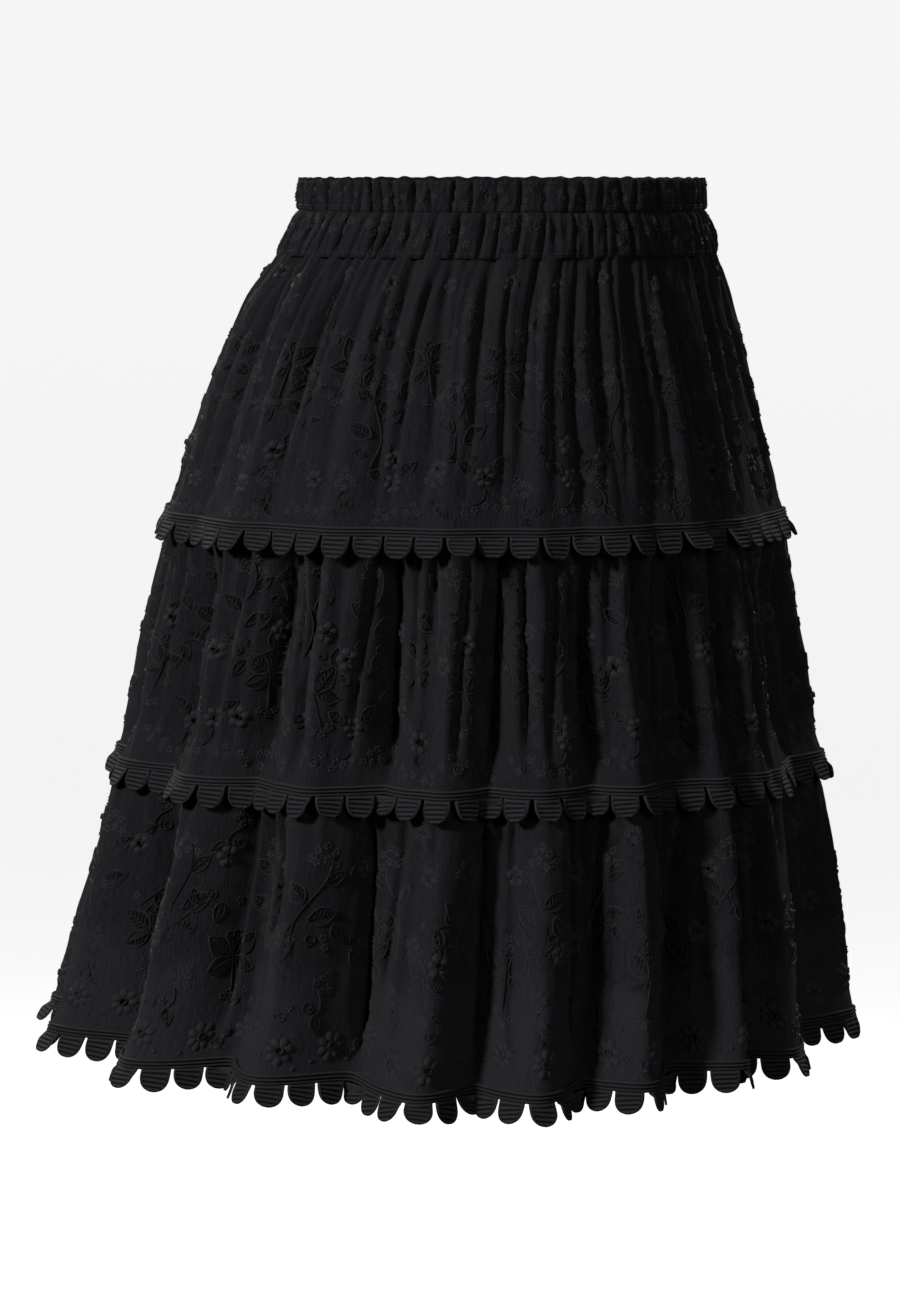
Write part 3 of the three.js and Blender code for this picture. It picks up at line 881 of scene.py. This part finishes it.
class Motif:
    """A stitched figure in flat millimetres: x across, y down, and the height of the thread."""

    def __init__(self):
        self.points = []
        self.faces = []
        self.uvs = []

    def thread(self, path, width, height, closed=False):
        """A raised line of satin stitch along a path of points."""
        path = np.asarray(path, float)
        if closed:
            along = np.roll(path, -1, 0) - np.roll(path, 1, 0)
        else:
            along = np.gradient(path, axis=0)
        along = unit(along)
        across = np.stack([-along[:, 1], along[:, 0]], axis=1)
        count = len(path)
        widths = np.full(count, width)
        if not closed:
            widths[0] *= THREAD_TIP
            widths[-1] *= THREAD_TIP
        start = len(self.points)
        distance = 0.0
        for index in range(count):
            left = path[index] - across[index] * widths[index] / 2
            right = path[index] + across[index] * widths[index] / 2
            middle = (*path[index], height * THREAD_LIFT)
            self.points += [(*left, THREAD_SINK), middle, (*right, THREAD_SINK)]
            if index:
                distance += float(np.linalg.norm(path[index] - path[index - 1]))
            self.uvs += [(distance, 0), (distance, width / 2), (distance, width)]
        for index in range(count if closed else count - 1):
            here = start + 3 * index
            there = start + 3 * ((index + 1) % count)
            self.faces += [(here, there, there + 1, here + 1), (here + 1, there + 1, there + 2, here + 2)]

    def pad(self, x, y, long, wide, turn, height, sides=8, rings=PAD_RINGS):
        """A padded oval, such as a petal: rings of a size and a share of its height."""
        start = len(self.points)
        self.points.append((x, y, height * PAD_LIFT))
        self.uvs.append((x, y))
        for size, lift in rings:
            for index in range(sides):
                angle = 2 * math.pi * index / sides
                across = wide * size * math.sin(angle)
                along = long * size * math.cos(angle)
                px = x + along * math.cos(turn) - across * math.sin(turn)
                py = y + along * math.sin(turn) + across * math.cos(turn)
                self.points.append((px, py, height * PAD_LIFT * lift))
                self.uvs.append((px, py))
        for index in range(sides):
            after = (index + 1) % sides
            self.faces.append((start, start + 1 + index, start + 1 + after))
            for ring in range(len(rings) - 1):
                a = start + 1 + ring * sides + index
                b = start + 1 + ring * sides + after
                self.faces.append((a, a + sides, b + sides, b))

    def flower(self, x, y, radius, petals, height, turn=0.0):
        """Padded petals round a stitched eyelet."""
        for index in range(petals):
            angle = turn + 2 * math.pi * index / petals
            reach = radius * PETAL_PLACE
            long = radius * PETAL_LENGTH
            wide = math.pi * reach / petals * PETAL_FULLNESS
            self.pad(x + reach * math.cos(angle), y + reach * math.sin(angle), long, wide, angle, height)
        hole = radius * EYELET_SIZE
        steps = np.linspace(0, 2 * math.pi, EYELET_STEPS, endpoint=False)
        ring = [(x + hole * math.cos(step), y + hole * math.sin(step)) for step in steps]
        self.thread(ring, radius * EYELET_WIDTH, height * EYELET_HEIGHT, closed=True)

    def blossom(self, x, y, radius, turn=0.0):
        """A small blossom of flat padded petals."""
        reach = radius * BLOSSOM_PLACE
        long = radius * BLOSSOM_LENGTH
        wide = radius * BLOSSOM_WIDTH
        for index in range(BLOSSOM_PETALS):
            angle = turn + 2 * math.pi * index / BLOSSOM_PETALS
            px = x + reach * math.cos(angle)
            py = y + reach * math.sin(angle)
            self.pad(px, py, long, wide, angle, BLOSSOM_HEIGHT, sides=6, rings=PAD_RINGS[-1:])

    def leaf(self, x, y, length, width, turn, veins=5):
        """A pointed oval leaf in outline, with a midrib and side veins."""
        place = np.array([x, y])
        edge = []
        for side in (1, -1):
            span = range(LEAF_STEPS) if side == 1 else range(LEAF_STEPS, 0, -1)
            for index in span:
                along = index / LEAF_STEPS
                bulge = math.sin(math.pi * along**LEAF_TAPER) * width / 2
                edge.append((along * length, side * bulge))
        self.thread(rotate(edge, turn) + place, *LEAF_EDGE, closed=True)
        rib = rotate([(length * share, 0.0) for share in np.linspace(0, RIB_END, 5)], turn)
        self.thread(rib + place, *LEAF_RIB)
        for index in range(veins):
            base = length * (VEIN_START + VEIN_SPREAD * index / max(veins - 1, 1))
            bulge = math.sin(math.pi * ((base / length + VEIN_AHEAD) ** LEAF_TAPER))
            reach = bulge * width * VEIN_REACH
            for side in (1, -1):
                vein = rotate([(base, 0), (base + reach * VEIN_LEAN, side * reach)], turn)
                self.thread(vein + place, *LEAF_VEIN)

    def arrays(self):
        """The figure's points, faces and texture coordinates."""
        return np.array(self.points, float), self.faces, np.array(self.uvs, float)


def rotate(points, turn):
    """Flat points turned by an angle in radians."""
    points = np.asarray(points, float)
    cosine = math.cos(turn)
    sine = math.sin(turn)
    return np.stack(
        [points[:, 0] * cosine - points[:, 1] * sine, points[:, 0] * sine + points[:, 1] * cosine], axis=1
    )


def curve(start, end, bow, steps=12):
    """A bowed line from one point to another."""
    start = np.asarray(start, float)
    end = np.asarray(end, float)
    side = np.array([-(end - start)[1], (end - start)[0]])
    shares = np.linspace(0, 1, steps)[:, None]
    return start + (end - start) * shares + side * bow * np.sin(np.pi * shares)


def tendril(x, y, radius, turn, flip, turns=1.4, steps=14):
    """A thin curl that winds inwards."""
    points = []
    for share in np.linspace(0, 1, steps):
        size = radius * (1 - 0.75 * share)
        angle = turns * 2 * math.pi * share
        points.append((radius - size * math.cos(angle), flip * size * math.sin(angle)))
    return rotate(points, turn) + np.array([x, y])


def spray():
    """A climbing vine with leaves, a cluster of blossoms at its top and one large flower."""
    motif = Motif()
    stem = np.array([(4 * math.sin(y / 9.0), y) for y in np.linspace(-24, 30, 20)])
    motif.thread(stem, *STEM)
    motif.leaf(-2, 12, 17, 9.5, math.radians(-150))
    motif.leaf(3.5, 4, 15, 8.5, math.radians(-35))
    motif.leaf(-4, -8, 13, 7, math.radians(-140), veins=3)
    motif.thread(tendril(3, 20, 4.5, math.radians(-20), 1), *CURL)
    motif.thread(tendril(-3, 22, 4, math.radians(200), -1), *CURL)
    cluster = [(2, -27), (-3.5, -24.5), (6.5, -23.5), (-0.5, -20), (5, -17.5), (9.5, -18.5), (-6.5, -18.5)]
    for index, (x, y) in enumerate(cluster):
        motif.blossom(x, y, 2.7, turn=0.7 * index)
    motif.thread(curve((4, 12), (12, 22), 0.2, 8), *TWIG)
    motif.flower(13.5, 26, 6.6, 5, 1.15)
    return motif


def butterfly():
    """Two pairs of veined leaves that meet on a short stem, with buds."""
    motif = Motif()
    for turn, length, width in ((-40, 18, 10.5), (-140, 18, 10.5), (25, 14, 8.5), (155, 14, 8.5)):
        radians = math.radians(turn)
        motif.leaf(1.6 * math.cos(radians), 1.6 * math.sin(radians), length, width, radians)
    motif.thread([(0, y) for y in np.linspace(-9, 18, 10)], *STEM)
    motif.thread(tendril(0, -9, 3.4, math.radians(-60), 1), *CURL)
    motif.thread(tendril(0, -9, 3.4, math.radians(-120), -1), *CURL)
    for index, (x, y) in enumerate([(-4.5, 20), (0, 22.5), (4.5, 20)]):
        motif.blossom(x, y, 2.5, turn=index)
    return motif


def rosette():
    """A large eyelet flower between two leaves, over a bank of blossoms."""
    motif = Motif()
    motif.flower(0, 0, 7, 6, 1.2)
    motif.leaf(6, -4, 13, 7.5, math.radians(-35), veins=3)
    motif.leaf(-6, -4, 13, 7.5, math.radians(-145), veins=3)
    motif.thread(curve((0, 7), (-9, 17), -0.25, 8), *TWIG)
    motif.thread(curve((0, 7), (9, 17), 0.25, 8), *TWIG)
    bank = [(-12, 16), (-7, 20), (-13.5, 21.5), (12, 16), (7, 20), (13.5, 21.5), (0, 18)]
    for index, (x, y) in enumerate(bank):
        motif.blossom(x, y, 2.7, turn=0.4 * index)
    return motif


def sprig():
    """A small cluster of blossoms with a curl on each side."""
    motif = Motif()
    for index, (x, y) in enumerate([(0, 0), (5, -2.5), (-5, -2.5), (2.5, -6.5), (-2.5, -6.5), (0, -11)]):
        motif.blossom(x, y, 2.6, turn=0.9 * index)
    motif.thread(curve((0, 2), (-3, 15), 0.2, 9), *TWIG)
    motif.thread(tendril(-1, 9, 4, math.radians(20), 1), *CURL)
    motif.leaf(-3, 12, 11, 6, math.radians(130), veins=3)
    return motif


def vine():
    """A long winding vine with a few leaves and curls along it."""
    motif = Motif()
    stem = np.array([(x, 6 * math.sin(x / 7.5)) for x in np.linspace(-27, 27, 26)])
    motif.thread(stem, *VINE_STEM)
    for x, side in ((-18, 1), (-5, -1), (9, 1), (21, -1)):
        y = 6 * math.sin(x / 7.5)
        motif.leaf(x, y, 11, 6.5, math.radians(70 * side), veins=3)
    for x, side in ((-12, -1), (2, 1), (16, -1)):
        y = 6 * math.sin(x / 7.5)
        motif.thread(tendril(x, y, 3.6, math.radians(80 * side), side), *THICK_CURL)
    for x, y in ((-29, -3), (28.5, 4), (30, -1)):
        motif.blossom(x, y, 2.6)
    return motif


def scatter():
    """A few loose blossoms and a bud on a curl."""
    motif = Motif()
    for index, (x, y) in enumerate([(-7, 2), (-2, -4), (4, 3), (9, -2)]):
        motif.blossom(x, y, 2.5, turn=index)
    motif.thread(tendril(1, 0, 3.5, 0.5, 1), *THICK_CURL)
    return motif


def round_flower():
    """One round padded flower."""
    motif = Motif()
    motif.flower(0, 0, 6.2, 5, 1.25)
    return motif


def hem_flower():
    """One large eyelet flower of the border above the hem."""
    motif = Motif()
    motif.flower(0, 0, 8, 7, 1.2)
    motif.thread(tendril(8, 3, 3, math.radians(10), 1), *CURL)
    motif.pad(11.5, 6.5, 1.6, 1.2, 0.4, 0.8)
    motif.pad(-10.5, 7, 1.6, 1.2, -0.4, 0.8)
    return motif


FIGURES = (spray, butterfly, rosette, sprig, vine, scatter, round_flower, hem_flower)
MOTIFS = {make.__name__: make().arrays() for make in FIGURES}

# Rows of embroidery on each tier: figure, height, repeats all round, start as a share of one repeat,
# size and turn in degrees; every other figure is mirrored
BAND_FIGURE_ROWS = [
    ("scatter", 8, 34, 0.3, 0.9, 0),
    ("scatter", -12, 30, 0.8, 1.0, 0),
]
TIER_1_ROWS = [
    ("round_flower", -34, 24, 0.3, 0.8, 0),
    ("sprig", -52, 20, 0.8, 0.8, 15),
    ("butterfly", -78, 20, 0.1, 0.95, 8),
    ("scatter", -66, 22, 0.6, 0.9, 0),
    ("vine", -92, 15, 0.4, 0.9, 4),
    ("spray", -104, 20, 0.62, 0.92, -6),
    ("rosette", -138, 20, 0.05, 0.85, 5),
    ("sprig", -142, 20, 0.45, 0.9, -12),
]
TIER_2_ROWS = [
    ("sprig", -190, 26, 0.8, 0.85, -20),
    ("spray", -205, 26, 0.3, 1.0, 6),
    ("round_flower", -216, 26, 0.75, 1.0, 0),
    ("vine", -232, 19, 0.1, 0.95, -6),
    ("butterfly", -243, 26, 0.85, 0.95, -8),
    ("round_flower", -258, 22, 0.2, 1.05, 0),
    ("rosette", -266, 26, 0.35, 0.9, 4),
    ("scatter", -280, 26, 0.9, 0.95, 0),
]
TIER_3_ROWS = [
    ("sprig", -318, 32, 0.2, 0.95, 10),
    ("spray", -348, 32, 0.7, 1.0, -5),
    ("round_flower", -336, 30, 0.4, 1.0, 0),
    ("vine", -364, 25, 0.2, 1.0, 5),
    ("butterfly", -382, 32, 0.25, 1.0, 7),
    ("sprig", -395, 32, 0.75, 0.95, -15),
    ("scatter", -404, 34, 0.1, 0.95, 0),
    ("hem_flower", -419, 66, 0.5, 1.0, 0),
]
PLACE_SCATTER = 4.0
TURN_SCATTER = 14.0
EMBROIDERY_TOP = 0.03
EMBROIDERY_BOTTOM = 0.955


def embroidery(name, panel, rows, seed):
    """The raised embroidery of a tier: figures laid on the cloth's own points."""
    draw = random.Random(seed)
    slant = panel.slant()
    points = []
    faces = []
    uvs = []
    start = 0
    for figure, height, repeats, offset, size, turn in rows:
        flat, figure_faces, figure_uvs = MOTIFS[figure]
        share = (height - panel.top) / (panel.bottom - panel.top)
        angles, lengths = panel.ring(share)
        for index in range(repeats):
            middle = (index + offset) / repeats * lengths[-1] + draw.uniform(-1, 1) * PLACE_SCATTER
            lift = draw.uniform(-1, 1) * PLACE_SCATTER
            angle_turn = math.radians(turn + draw.uniform(-1, 1) * TURN_SCATTER)
            mirror = -1 if index % 2 else 1
            placed = rotate(flat[:, :2] * np.array([size * mirror, size]), angle_turn * mirror)
            round_the_ring = (middle + placed[:, 0]) % lengths[-1]
            angle = np.interp(round_the_ring, lengths, angles)
            place = share + (placed[:, 1] + lift) / slant
            place = np.clip(place, EMBROIDERY_TOP, EMBROIDERY_BOTTOM)
            points.append(panel.at(angle, place, flat[:, 2] * (1 + size) / 2))
            for face in figure_faces:
                moved = tuple(start + corner for corner in face)
                faces.append(moved if mirror == 1 else moved[::-1])
            uvs.append(figure_uvs)
            start += len(flat)
    piece = make_mesh(name, np.concatenate(points), faces, np.concatenate(uvs))
    finish_piece(piece, thread_material, [])
    return piece


def node(tree, kind, **values):
    """A shader node with some of its inputs or settings set."""
    made = tree.nodes.new(kind)
    for key, value in values.items():
        if key in made.inputs:
            made.inputs[key].default_value = value
        else:
            setattr(made, key, value)
    return made


def noise_at(tree, places, scale, detail, roughness):
    """Noise at the cloth's own texture places, stretched by a scale along and down the cloth."""
    stretched = node(tree, "ShaderNodeMapping", Scale=(*scale, 1))
    tree.links.new(places, stretched.inputs["Vector"])
    noise = node(tree, "ShaderNodeTexNoise", Scale=1.0, Detail=detail, Roughness=roughness)
    tree.links.new(stretched.outputs["Vector"], noise.inputs["Vector"])
    return noise.outputs["Fac"]


def threads(tree, places, pitch):
    """The crossing threads of a plain weave, from 0 in the gaps to 1 on a thread.
    A wave texture of scale 1 has a band every 2 pi / 20."""
    waves = []
    for direction in ("X", "Y"):
        wave = node(tree, "ShaderNodeTexWave", bands_direction=direction, Distortion=1.6, Detail=1.0)
        wave.inputs["Scale"].default_value = 2 * math.pi / (20 * pitch)
        wave.inputs["Detail Scale"].default_value = 2.0
        tree.links.new(places, wave.inputs["Vector"])
        waves.append(wave.outputs["Fac"])
    return combine(tree, "MAXIMUM", waves[0], waves[1])


def combine(tree, operation, first, second):
    """Two values joined by a sum, product or the like; either may be a number."""
    made = node(tree, "ShaderNodeMath", operation=operation)
    for index, value in enumerate((first, second)):
        if isinstance(value, (int, float)):
            made.inputs[index].default_value = value
        else:
            tree.links.new(value, made.inputs[index])
    return made.outputs["Value"]


def ramp(tree, value, low, high, dark, light):
    """A colour between dark and light as a value goes from low to high."""
    made = node(tree, "ShaderNodeValToRGB")
    made.color_ramp.elements[0].position = low
    made.color_ramp.elements[0].color = (*dark, 1)
    made.color_ramp.elements[1].position = high
    made.color_ramp.elements[1].color = (*light, 1)
    tree.links.new(value, made.inputs["Fac"])
    return made.outputs["Color"]


def bump(tree, value, depth, strength, below=None):
    """A bump of a depth in millimetres, on top of another."""
    made = node(tree, "ShaderNodeBump", Strength=strength, Distance=depth * MM)
    tree.links.new(value, made.inputs["Height"])
    if below is not None:
        tree.links.new(below, made.inputs["Normal"])
    return made.outputs["Normal"]


def plain_shader(name, roughness, specular, sheen):
    """A new material with its main shader, and the places of its texture."""
    material = bpy.data.materials.new(name)
    material.use_nodes = True
    tree = material.node_tree
    shader = tree.nodes["Principled BSDF"]
    shader.inputs["Roughness"].default_value = roughness
    shader.inputs["Specular IOR Level"].default_value = specular
    shader.inputs["Sheen Weight"].default_value = sheen
    shader.inputs["Sheen Roughness"].default_value = 0.45
    places = node(tree, "ShaderNodeTexCoord").outputs["UV"]
    return material, tree, shader, places


# Noise in the cloth: its scale along and down the cloth, its detail and its roughness
SLUBS = ((0.9, 0.22), 6.0, 0.68)
GRAIN = ((1.6, 2.4), 3.0, 0.7)
CRINKLES = ((0.24, 0.07), 4.0, 0.6)
CLOUDS = ((0.035, 0.06), 3.0, 0.6)

# The weave in millimetres, and how much it shades the cloth
THREAD_PITCH = 0.62
THREAD_SHADE = 0.3
GAP_SHADE = 0.75
SLUB_DEPTH = 0.8
THREAD_DEPTH = 0.2

# The sheerer cloth above the hem, painted paler as painted light showing through it: how much, how
# unevenly, and where it starts and is full
SHEER_PAINTED_LIGHT = 0.2
SHEER_LIGHT_SWING = -50.0
SHEER_LIGHT_START = 25
SHEER_LIGHT_FULL = 45


def woven(name, dark, light, crinkle_depth, sheer_light_to=0.0):
    """Washed black cotton: a plain weave with slubs, fine crinkles and uneven dye.
    Up to a height above its lower edge it can be painted paler, as painted light showing through sheerer
    cloth, with its weave standing out coarser there."""
    material, tree, shader, places = plain_shader(name, roughness=0.9, specular=0.07, sheen=0.02)
    slubs = noise_at(tree, places, *SLUBS)
    grain = noise_at(tree, places, *GRAIN)
    weave = threads(tree, places, THREAD_PITCH)
    crinkles = noise_at(tree, places, *CRINKLES)
    slub_tone = combine(tree, "MULTIPLY", slubs, 0.5)
    grain_tone = combine(tree, "MULTIPLY", grain, 0.5)
    tone = combine(tree, "ADD", slub_tone, grain_tone)
    thread_tone = combine(tree, "MULTIPLY", weave, THREAD_SHADE)
    shaded = combine(tree, "MULTIPLY", tone, combine(tree, "ADD", thread_tone, GAP_SHADE))
    # Painted light: near the lower edge the weave is lightened, as light showing through the sheerer cloth
    if sheer_light_to:
        split = node(tree, "ShaderNodeSeparateXYZ")
        tree.links.new(places, split.inputs["Vector"])
        cloudy = combine(tree, "MULTIPLY", noise_at(tree, places, *CLOUDS), SHEER_LIGHT_SWING)
        edge = combine(tree, "ADD", split.outputs["Y"], cloudy)
        fade = node(tree, "ShaderNodeMapRange")
        fade.inputs["From Min"].default_value = sheer_light_to - SHEER_LIGHT_START
        fade.inputs["From Max"].default_value = sheer_light_to - SHEER_LIGHT_FULL
        fade.inputs["To Min"].default_value = 0.0
        fade.inputs["To Max"].default_value = SHEER_PAINTED_LIGHT
        tree.links.new(edge, fade.inputs["Value"])
        shaded = combine(tree, "ADD", shaded, combine(tree, "MULTIPLY", fade.outputs["Result"], weave))
    tree.links.new(ramp(tree, shaded, 0.3, 0.66, dark, light), shader.inputs["Base Color"])
    soft = bump(tree, crinkles, crinkle_depth, 1.0)
    rough = bump(tree, slubs, SLUB_DEPTH, 1.0, soft)
    fine = bump(tree, weave, THREAD_DEPTH, 1.0, rough)
    tree.links.new(fine, shader.inputs["Normal"])
    return material


def corded(name, dark, light):
    """Corded trim: twisted cords that run across, with painted shade in the grooves between them."""
    material, tree, shader, places = plain_shader(name, roughness=0.75, specular=0.08, sheen=0.02)
    split = node(tree, "ShaderNodeSeparateXYZ")
    tree.links.new(places, split.inputs["Vector"])
    # Painted shade: the colour darkens towards each whole cord place, in the grooves between the cords
    wave = combine(tree, "SINE", combine(tree, "MULTIPLY", split.outputs["Y"], math.pi), 0)
    cord = combine(tree, "ABSOLUTE", wave, 0)
    twist = noise_at(tree, places, (1.7, 1.2), 2.0, 0.6)
    twisted = combine(tree, "ADD", combine(tree, "MULTIPLY", twist, 0.7), 0.6)
    shaded = combine(tree, "MULTIPLY", cord, twisted)
    tree.links.new(ramp(tree, shaded, 0.15, 0.75, dark, light), shader.inputs["Base Color"])
    tree.links.new(bump(tree, shaded, 0.5, 0.9), shader.inputs["Normal"])
    return material


def stitched_thread(name, dark, light):
    """Matt embroidery thread: fine stitches across the line."""
    material, tree, shader, places = plain_shader(name, roughness=0.66, specular=0.13, sheen=0.03)
    strands = noise_at(tree, places, (2.6, 0.5), 2.0, 0.6)
    tree.links.new(ramp(tree, strands, 0.34, 0.66, dark, light), shader.inputs["Base Color"])
    tree.links.new(bump(tree, strands, 0.5, 1.0), shader.inputs["Normal"])
    return material


# Colours of the cotton, the cords and the thread: dark and light; the cords' dark is painted shade in
# their grooves
COTTON = ((0.0035, 0.0035, 0.0044), (0.019, 0.019, 0.0217))
CORD_AND_GROOVE_SHADE = ((0.002, 0.002, 0.0025), (0.0175, 0.0175, 0.0198))
THREAD = ((0.0055, 0.0055, 0.0066), (0.0175, 0.0175, 0.0199))
# Height of the painted light that shows through the sheerer cloth above the hem
SHEER_LIGHT_HEIGHT = 62.0
cloth_material = woven("black_cotton", *COTTON, crinkle_depth=2.0)
# The last tier's cotton, with painted light showing through above the hem
hem_material = woven("black_cotton_hem_painted_light", *COTTON, crinkle_depth=1.9, sheer_light_to=SHEER_LIGHT_HEIGHT)
band_material = woven("black_cotton_band", *COTTON, crinkle_depth=2.2)
trim_material = corded("corded_trim_painted_groove_shade", *CORD_AND_GROOVE_SHADE)
thread_material = stitched_thread("embroidery_thread", *THREAD)

# The panels of the tiers; small gathers are given as a seed, a count and a depth
SEAM_GAP = 0.3
TIER_1_GATHERS = (21, 96, 3.8)
TIER_2_GATHERS = (22, 88, 4.4)
tier_1_inset = gathered_inset(
    BAND_BOTTOM, SEAM_1, TIER_1_FURROWS, TIER_1_CREASES, TIER_1_GATHERS, valley_depth=2, relax=0.45
)
tier_2_inset = gathered_inset(
    SEAM_1, SEAM_2, TIER_2_FURROWS, TIER_2_CREASES, TIER_2_GATHERS, valley_depth=8, relax=0
)
panel_1 = tier_panel(BAND_BOTTOM - SEAM_GAP, SEAM_1, tier_1_inset, columns=600, rows=40)
panel_2 = tier_panel(SEAM_1 - SEAM_GAP, SEAM_2, tier_2_inset, columns=680, rows=40)
panel_3 = tier_panel(SEAM_2 - SEAM_GAP, HEM, tier_3_inset, columns=840, rows=42)

# The pieces
trims = [
    trim("scalloped_trim_1", panel_1, tabs=60, seed=41, nodes=["trim_1"]),
    trim("scalloped_trim_2", panel_2, tabs=78, seed=42, nodes=["trim_2"]),
    trim("scalloped_trim_hem", panel_3, tabs=108, seed=43, nodes=["trim_hem"]),
]
stitched = [
    embroidery("embroidery_1", panel_1, TIER_1_ROWS, seed=51),
    embroidery("embroidery_2", panel_2, TIER_2_ROWS, seed=52),
    embroidery("embroidery_3", panel_3, TIER_3_ROWS, seed=53),
]
band, band_panel, band_lining = waistband()
band_stitched = embroidery("embroidery_band", band_panel, BAND_FIGURE_ROWS, seed=50)
TIER_COLUMNS = ("name", "panel", "above", "lift", "material", "flat_width", "rests_on")
TIER_ROWS = [
    ("tier_1", panel_1, band_lining, 0.9, cloth_material, 1200, ["waistband"]),
    ("tier_2", panel_2, panel_1, -CLOTH / 2, cloth_material, 1600, ["tier_1"]),
    ("tier_3", panel_3, panel_2, -CLOTH / 2, hem_material, 2050, ["tier_2"]),
]
for row, *with_pieces in zip(TIER_ROWS, trims, stitched):
    tier(with_pieces=with_pieces, **dict(zip(TIER_COLUMNS, row)))
band_sewn = stitches("waistband_stitches", band_panel, STITCH_ROWS)


# The stage: a pale floor that curves up into a far wall all round, soft lights and the camera
# Its profile from the middle out: radius and height in metres
STAGE_PROFILE = [
    (0.02, -1.15), (3.0, -1.15), (5.6, -1.15), (6.8, -1.02),
    (7.7, -0.65), (8.2, -0.1), (8.4, 0.6), (8.5, 4.0),
]
STAGE_SIDES = 48
STAGE_COLOUR = (0.86, 0.86, 0.86, 1)
STAGE_GLOW = 0.8

# Lights: name, place and size in metres, power in watts
LIGHT_TARGET = (0, 0, -0.22)
LIGHT_ROWS = [
    ("key", (-1.95, -1.6, 1.0), 0.4, 87),
    ("fill", (1.25, -2.3, 0.6), 0.6, 14),
    ("back_left", (-1.4, 2.2, 1.0), 0.8, 32),
    ("back_right", (1.6, 2.1, 0.7), 0.8, 22),
]
SKY_COLOUR = (0.95, 0.95, 1.15, 1)
SKY_STRENGTH = 0.065


def stage():
    """A wide pale floor, well below the hem, with a sweep up to a wall that is far off on all sides."""
    turns = 2 * np.pi * np.arange(STAGE_SIDES) / STAGE_SIDES
    rings = [
        np.stack([radius * np.cos(turns), radius * np.sin(turns), np.full(STAGE_SIDES, height)], axis=1)
        for radius, height in STAGE_PROFILE
    ]
    faces = [tuple(face) for face in grid_quads(len(rings), STAGE_SIDES, True, 0, True).tolist()]
    faces.append(tuple(range(STAGE_SIDES)))
    mesh = bpy.data.meshes.new("floor")
    mesh.from_pydata(np.concatenate(rings).tolist(), [], faces)
    mesh.polygons.foreach_set("use_smooth", np.ones(len(mesh.polygons), bool))
    floor = bpy.data.objects.new("floor", mesh)
    bpy.context.scene.collection.objects.link(floor)
    material = bpy.data.materials.new("pale_floor")
    material.use_nodes = True
    shader = material.node_tree.nodes["Principled BSDF"]
    shader.inputs["Base Color"].default_value = STAGE_COLOUR
    shader.inputs["Roughness"].default_value = 0.9
    shader.inputs["Emission Color"].default_value = (1, 1, 1, 1)
    shader.inputs["Emission Strength"].default_value = STAGE_GLOW
    mesh.materials.append(material)
    floor.visible_diffuse = False
    floor.visible_glossy = False


def area_light(name, place, size, power):
    """A soft square light that faces the skirt."""
    data = bpy.data.lights.new(name, "AREA")
    data.shape = "SQUARE"
    data.size = size
    data.energy = power
    lamp = bpy.data.objects.new(name, data)
    lamp.location = place
    away = np.array(place, float) - np.array(LIGHT_TARGET, float)
    lamp.rotation_euler = (
        math.atan2(math.hypot(away[0], away[1]), away[2]),
        0,
        math.atan2(away[1], away[0]) + math.pi / 2,
    )
    bpy.context.scene.collection.objects.link(lamp)


def lights():
    """A key light from the upper left of the front, a weaker one on the right, and two behind."""
    for row in LIGHT_ROWS:
        area_light(*row)
    world = bpy.data.worlds.new("studio")
    world.use_nodes = True
    sky = world.node_tree.nodes["Background"]
    sky.inputs["Color"].default_value = SKY_COLOUR
    sky.inputs["Strength"].default_value = SKY_STRENGTH
    bpy.context.scene.world = world


# The camera: place in metres, degrees that it looks down, focal length as a share of the picture's height
CAMERA_PLACE = (-0.028, -2.383, 0.040)
CAMERA_PITCH = 6.75
FOCAL_SHARE = 4400 / 1312
SENSOR = 36.0


def camera():
    """The camera at the photo's angle: a little above the waist, looking slightly down."""
    data = bpy.data.cameras.new("camera")
    data.sensor_fit = "VERTICAL"
    data.sensor_height = SENSOR
    data.lens = SENSOR * FOCAL_SHARE
    eye = bpy.data.objects.new("camera", data)
    eye.location = CAMERA_PLACE
    eye.rotation_euler = (math.radians(90 - CAMERA_PITCH), 0, 0)
    bpy.context.scene.collection.objects.link(eye)
    bpy.context.scene.camera = eye


stage()
lights()
camera()
bpy.context.scene.view_settings.view_transform = "Standard"
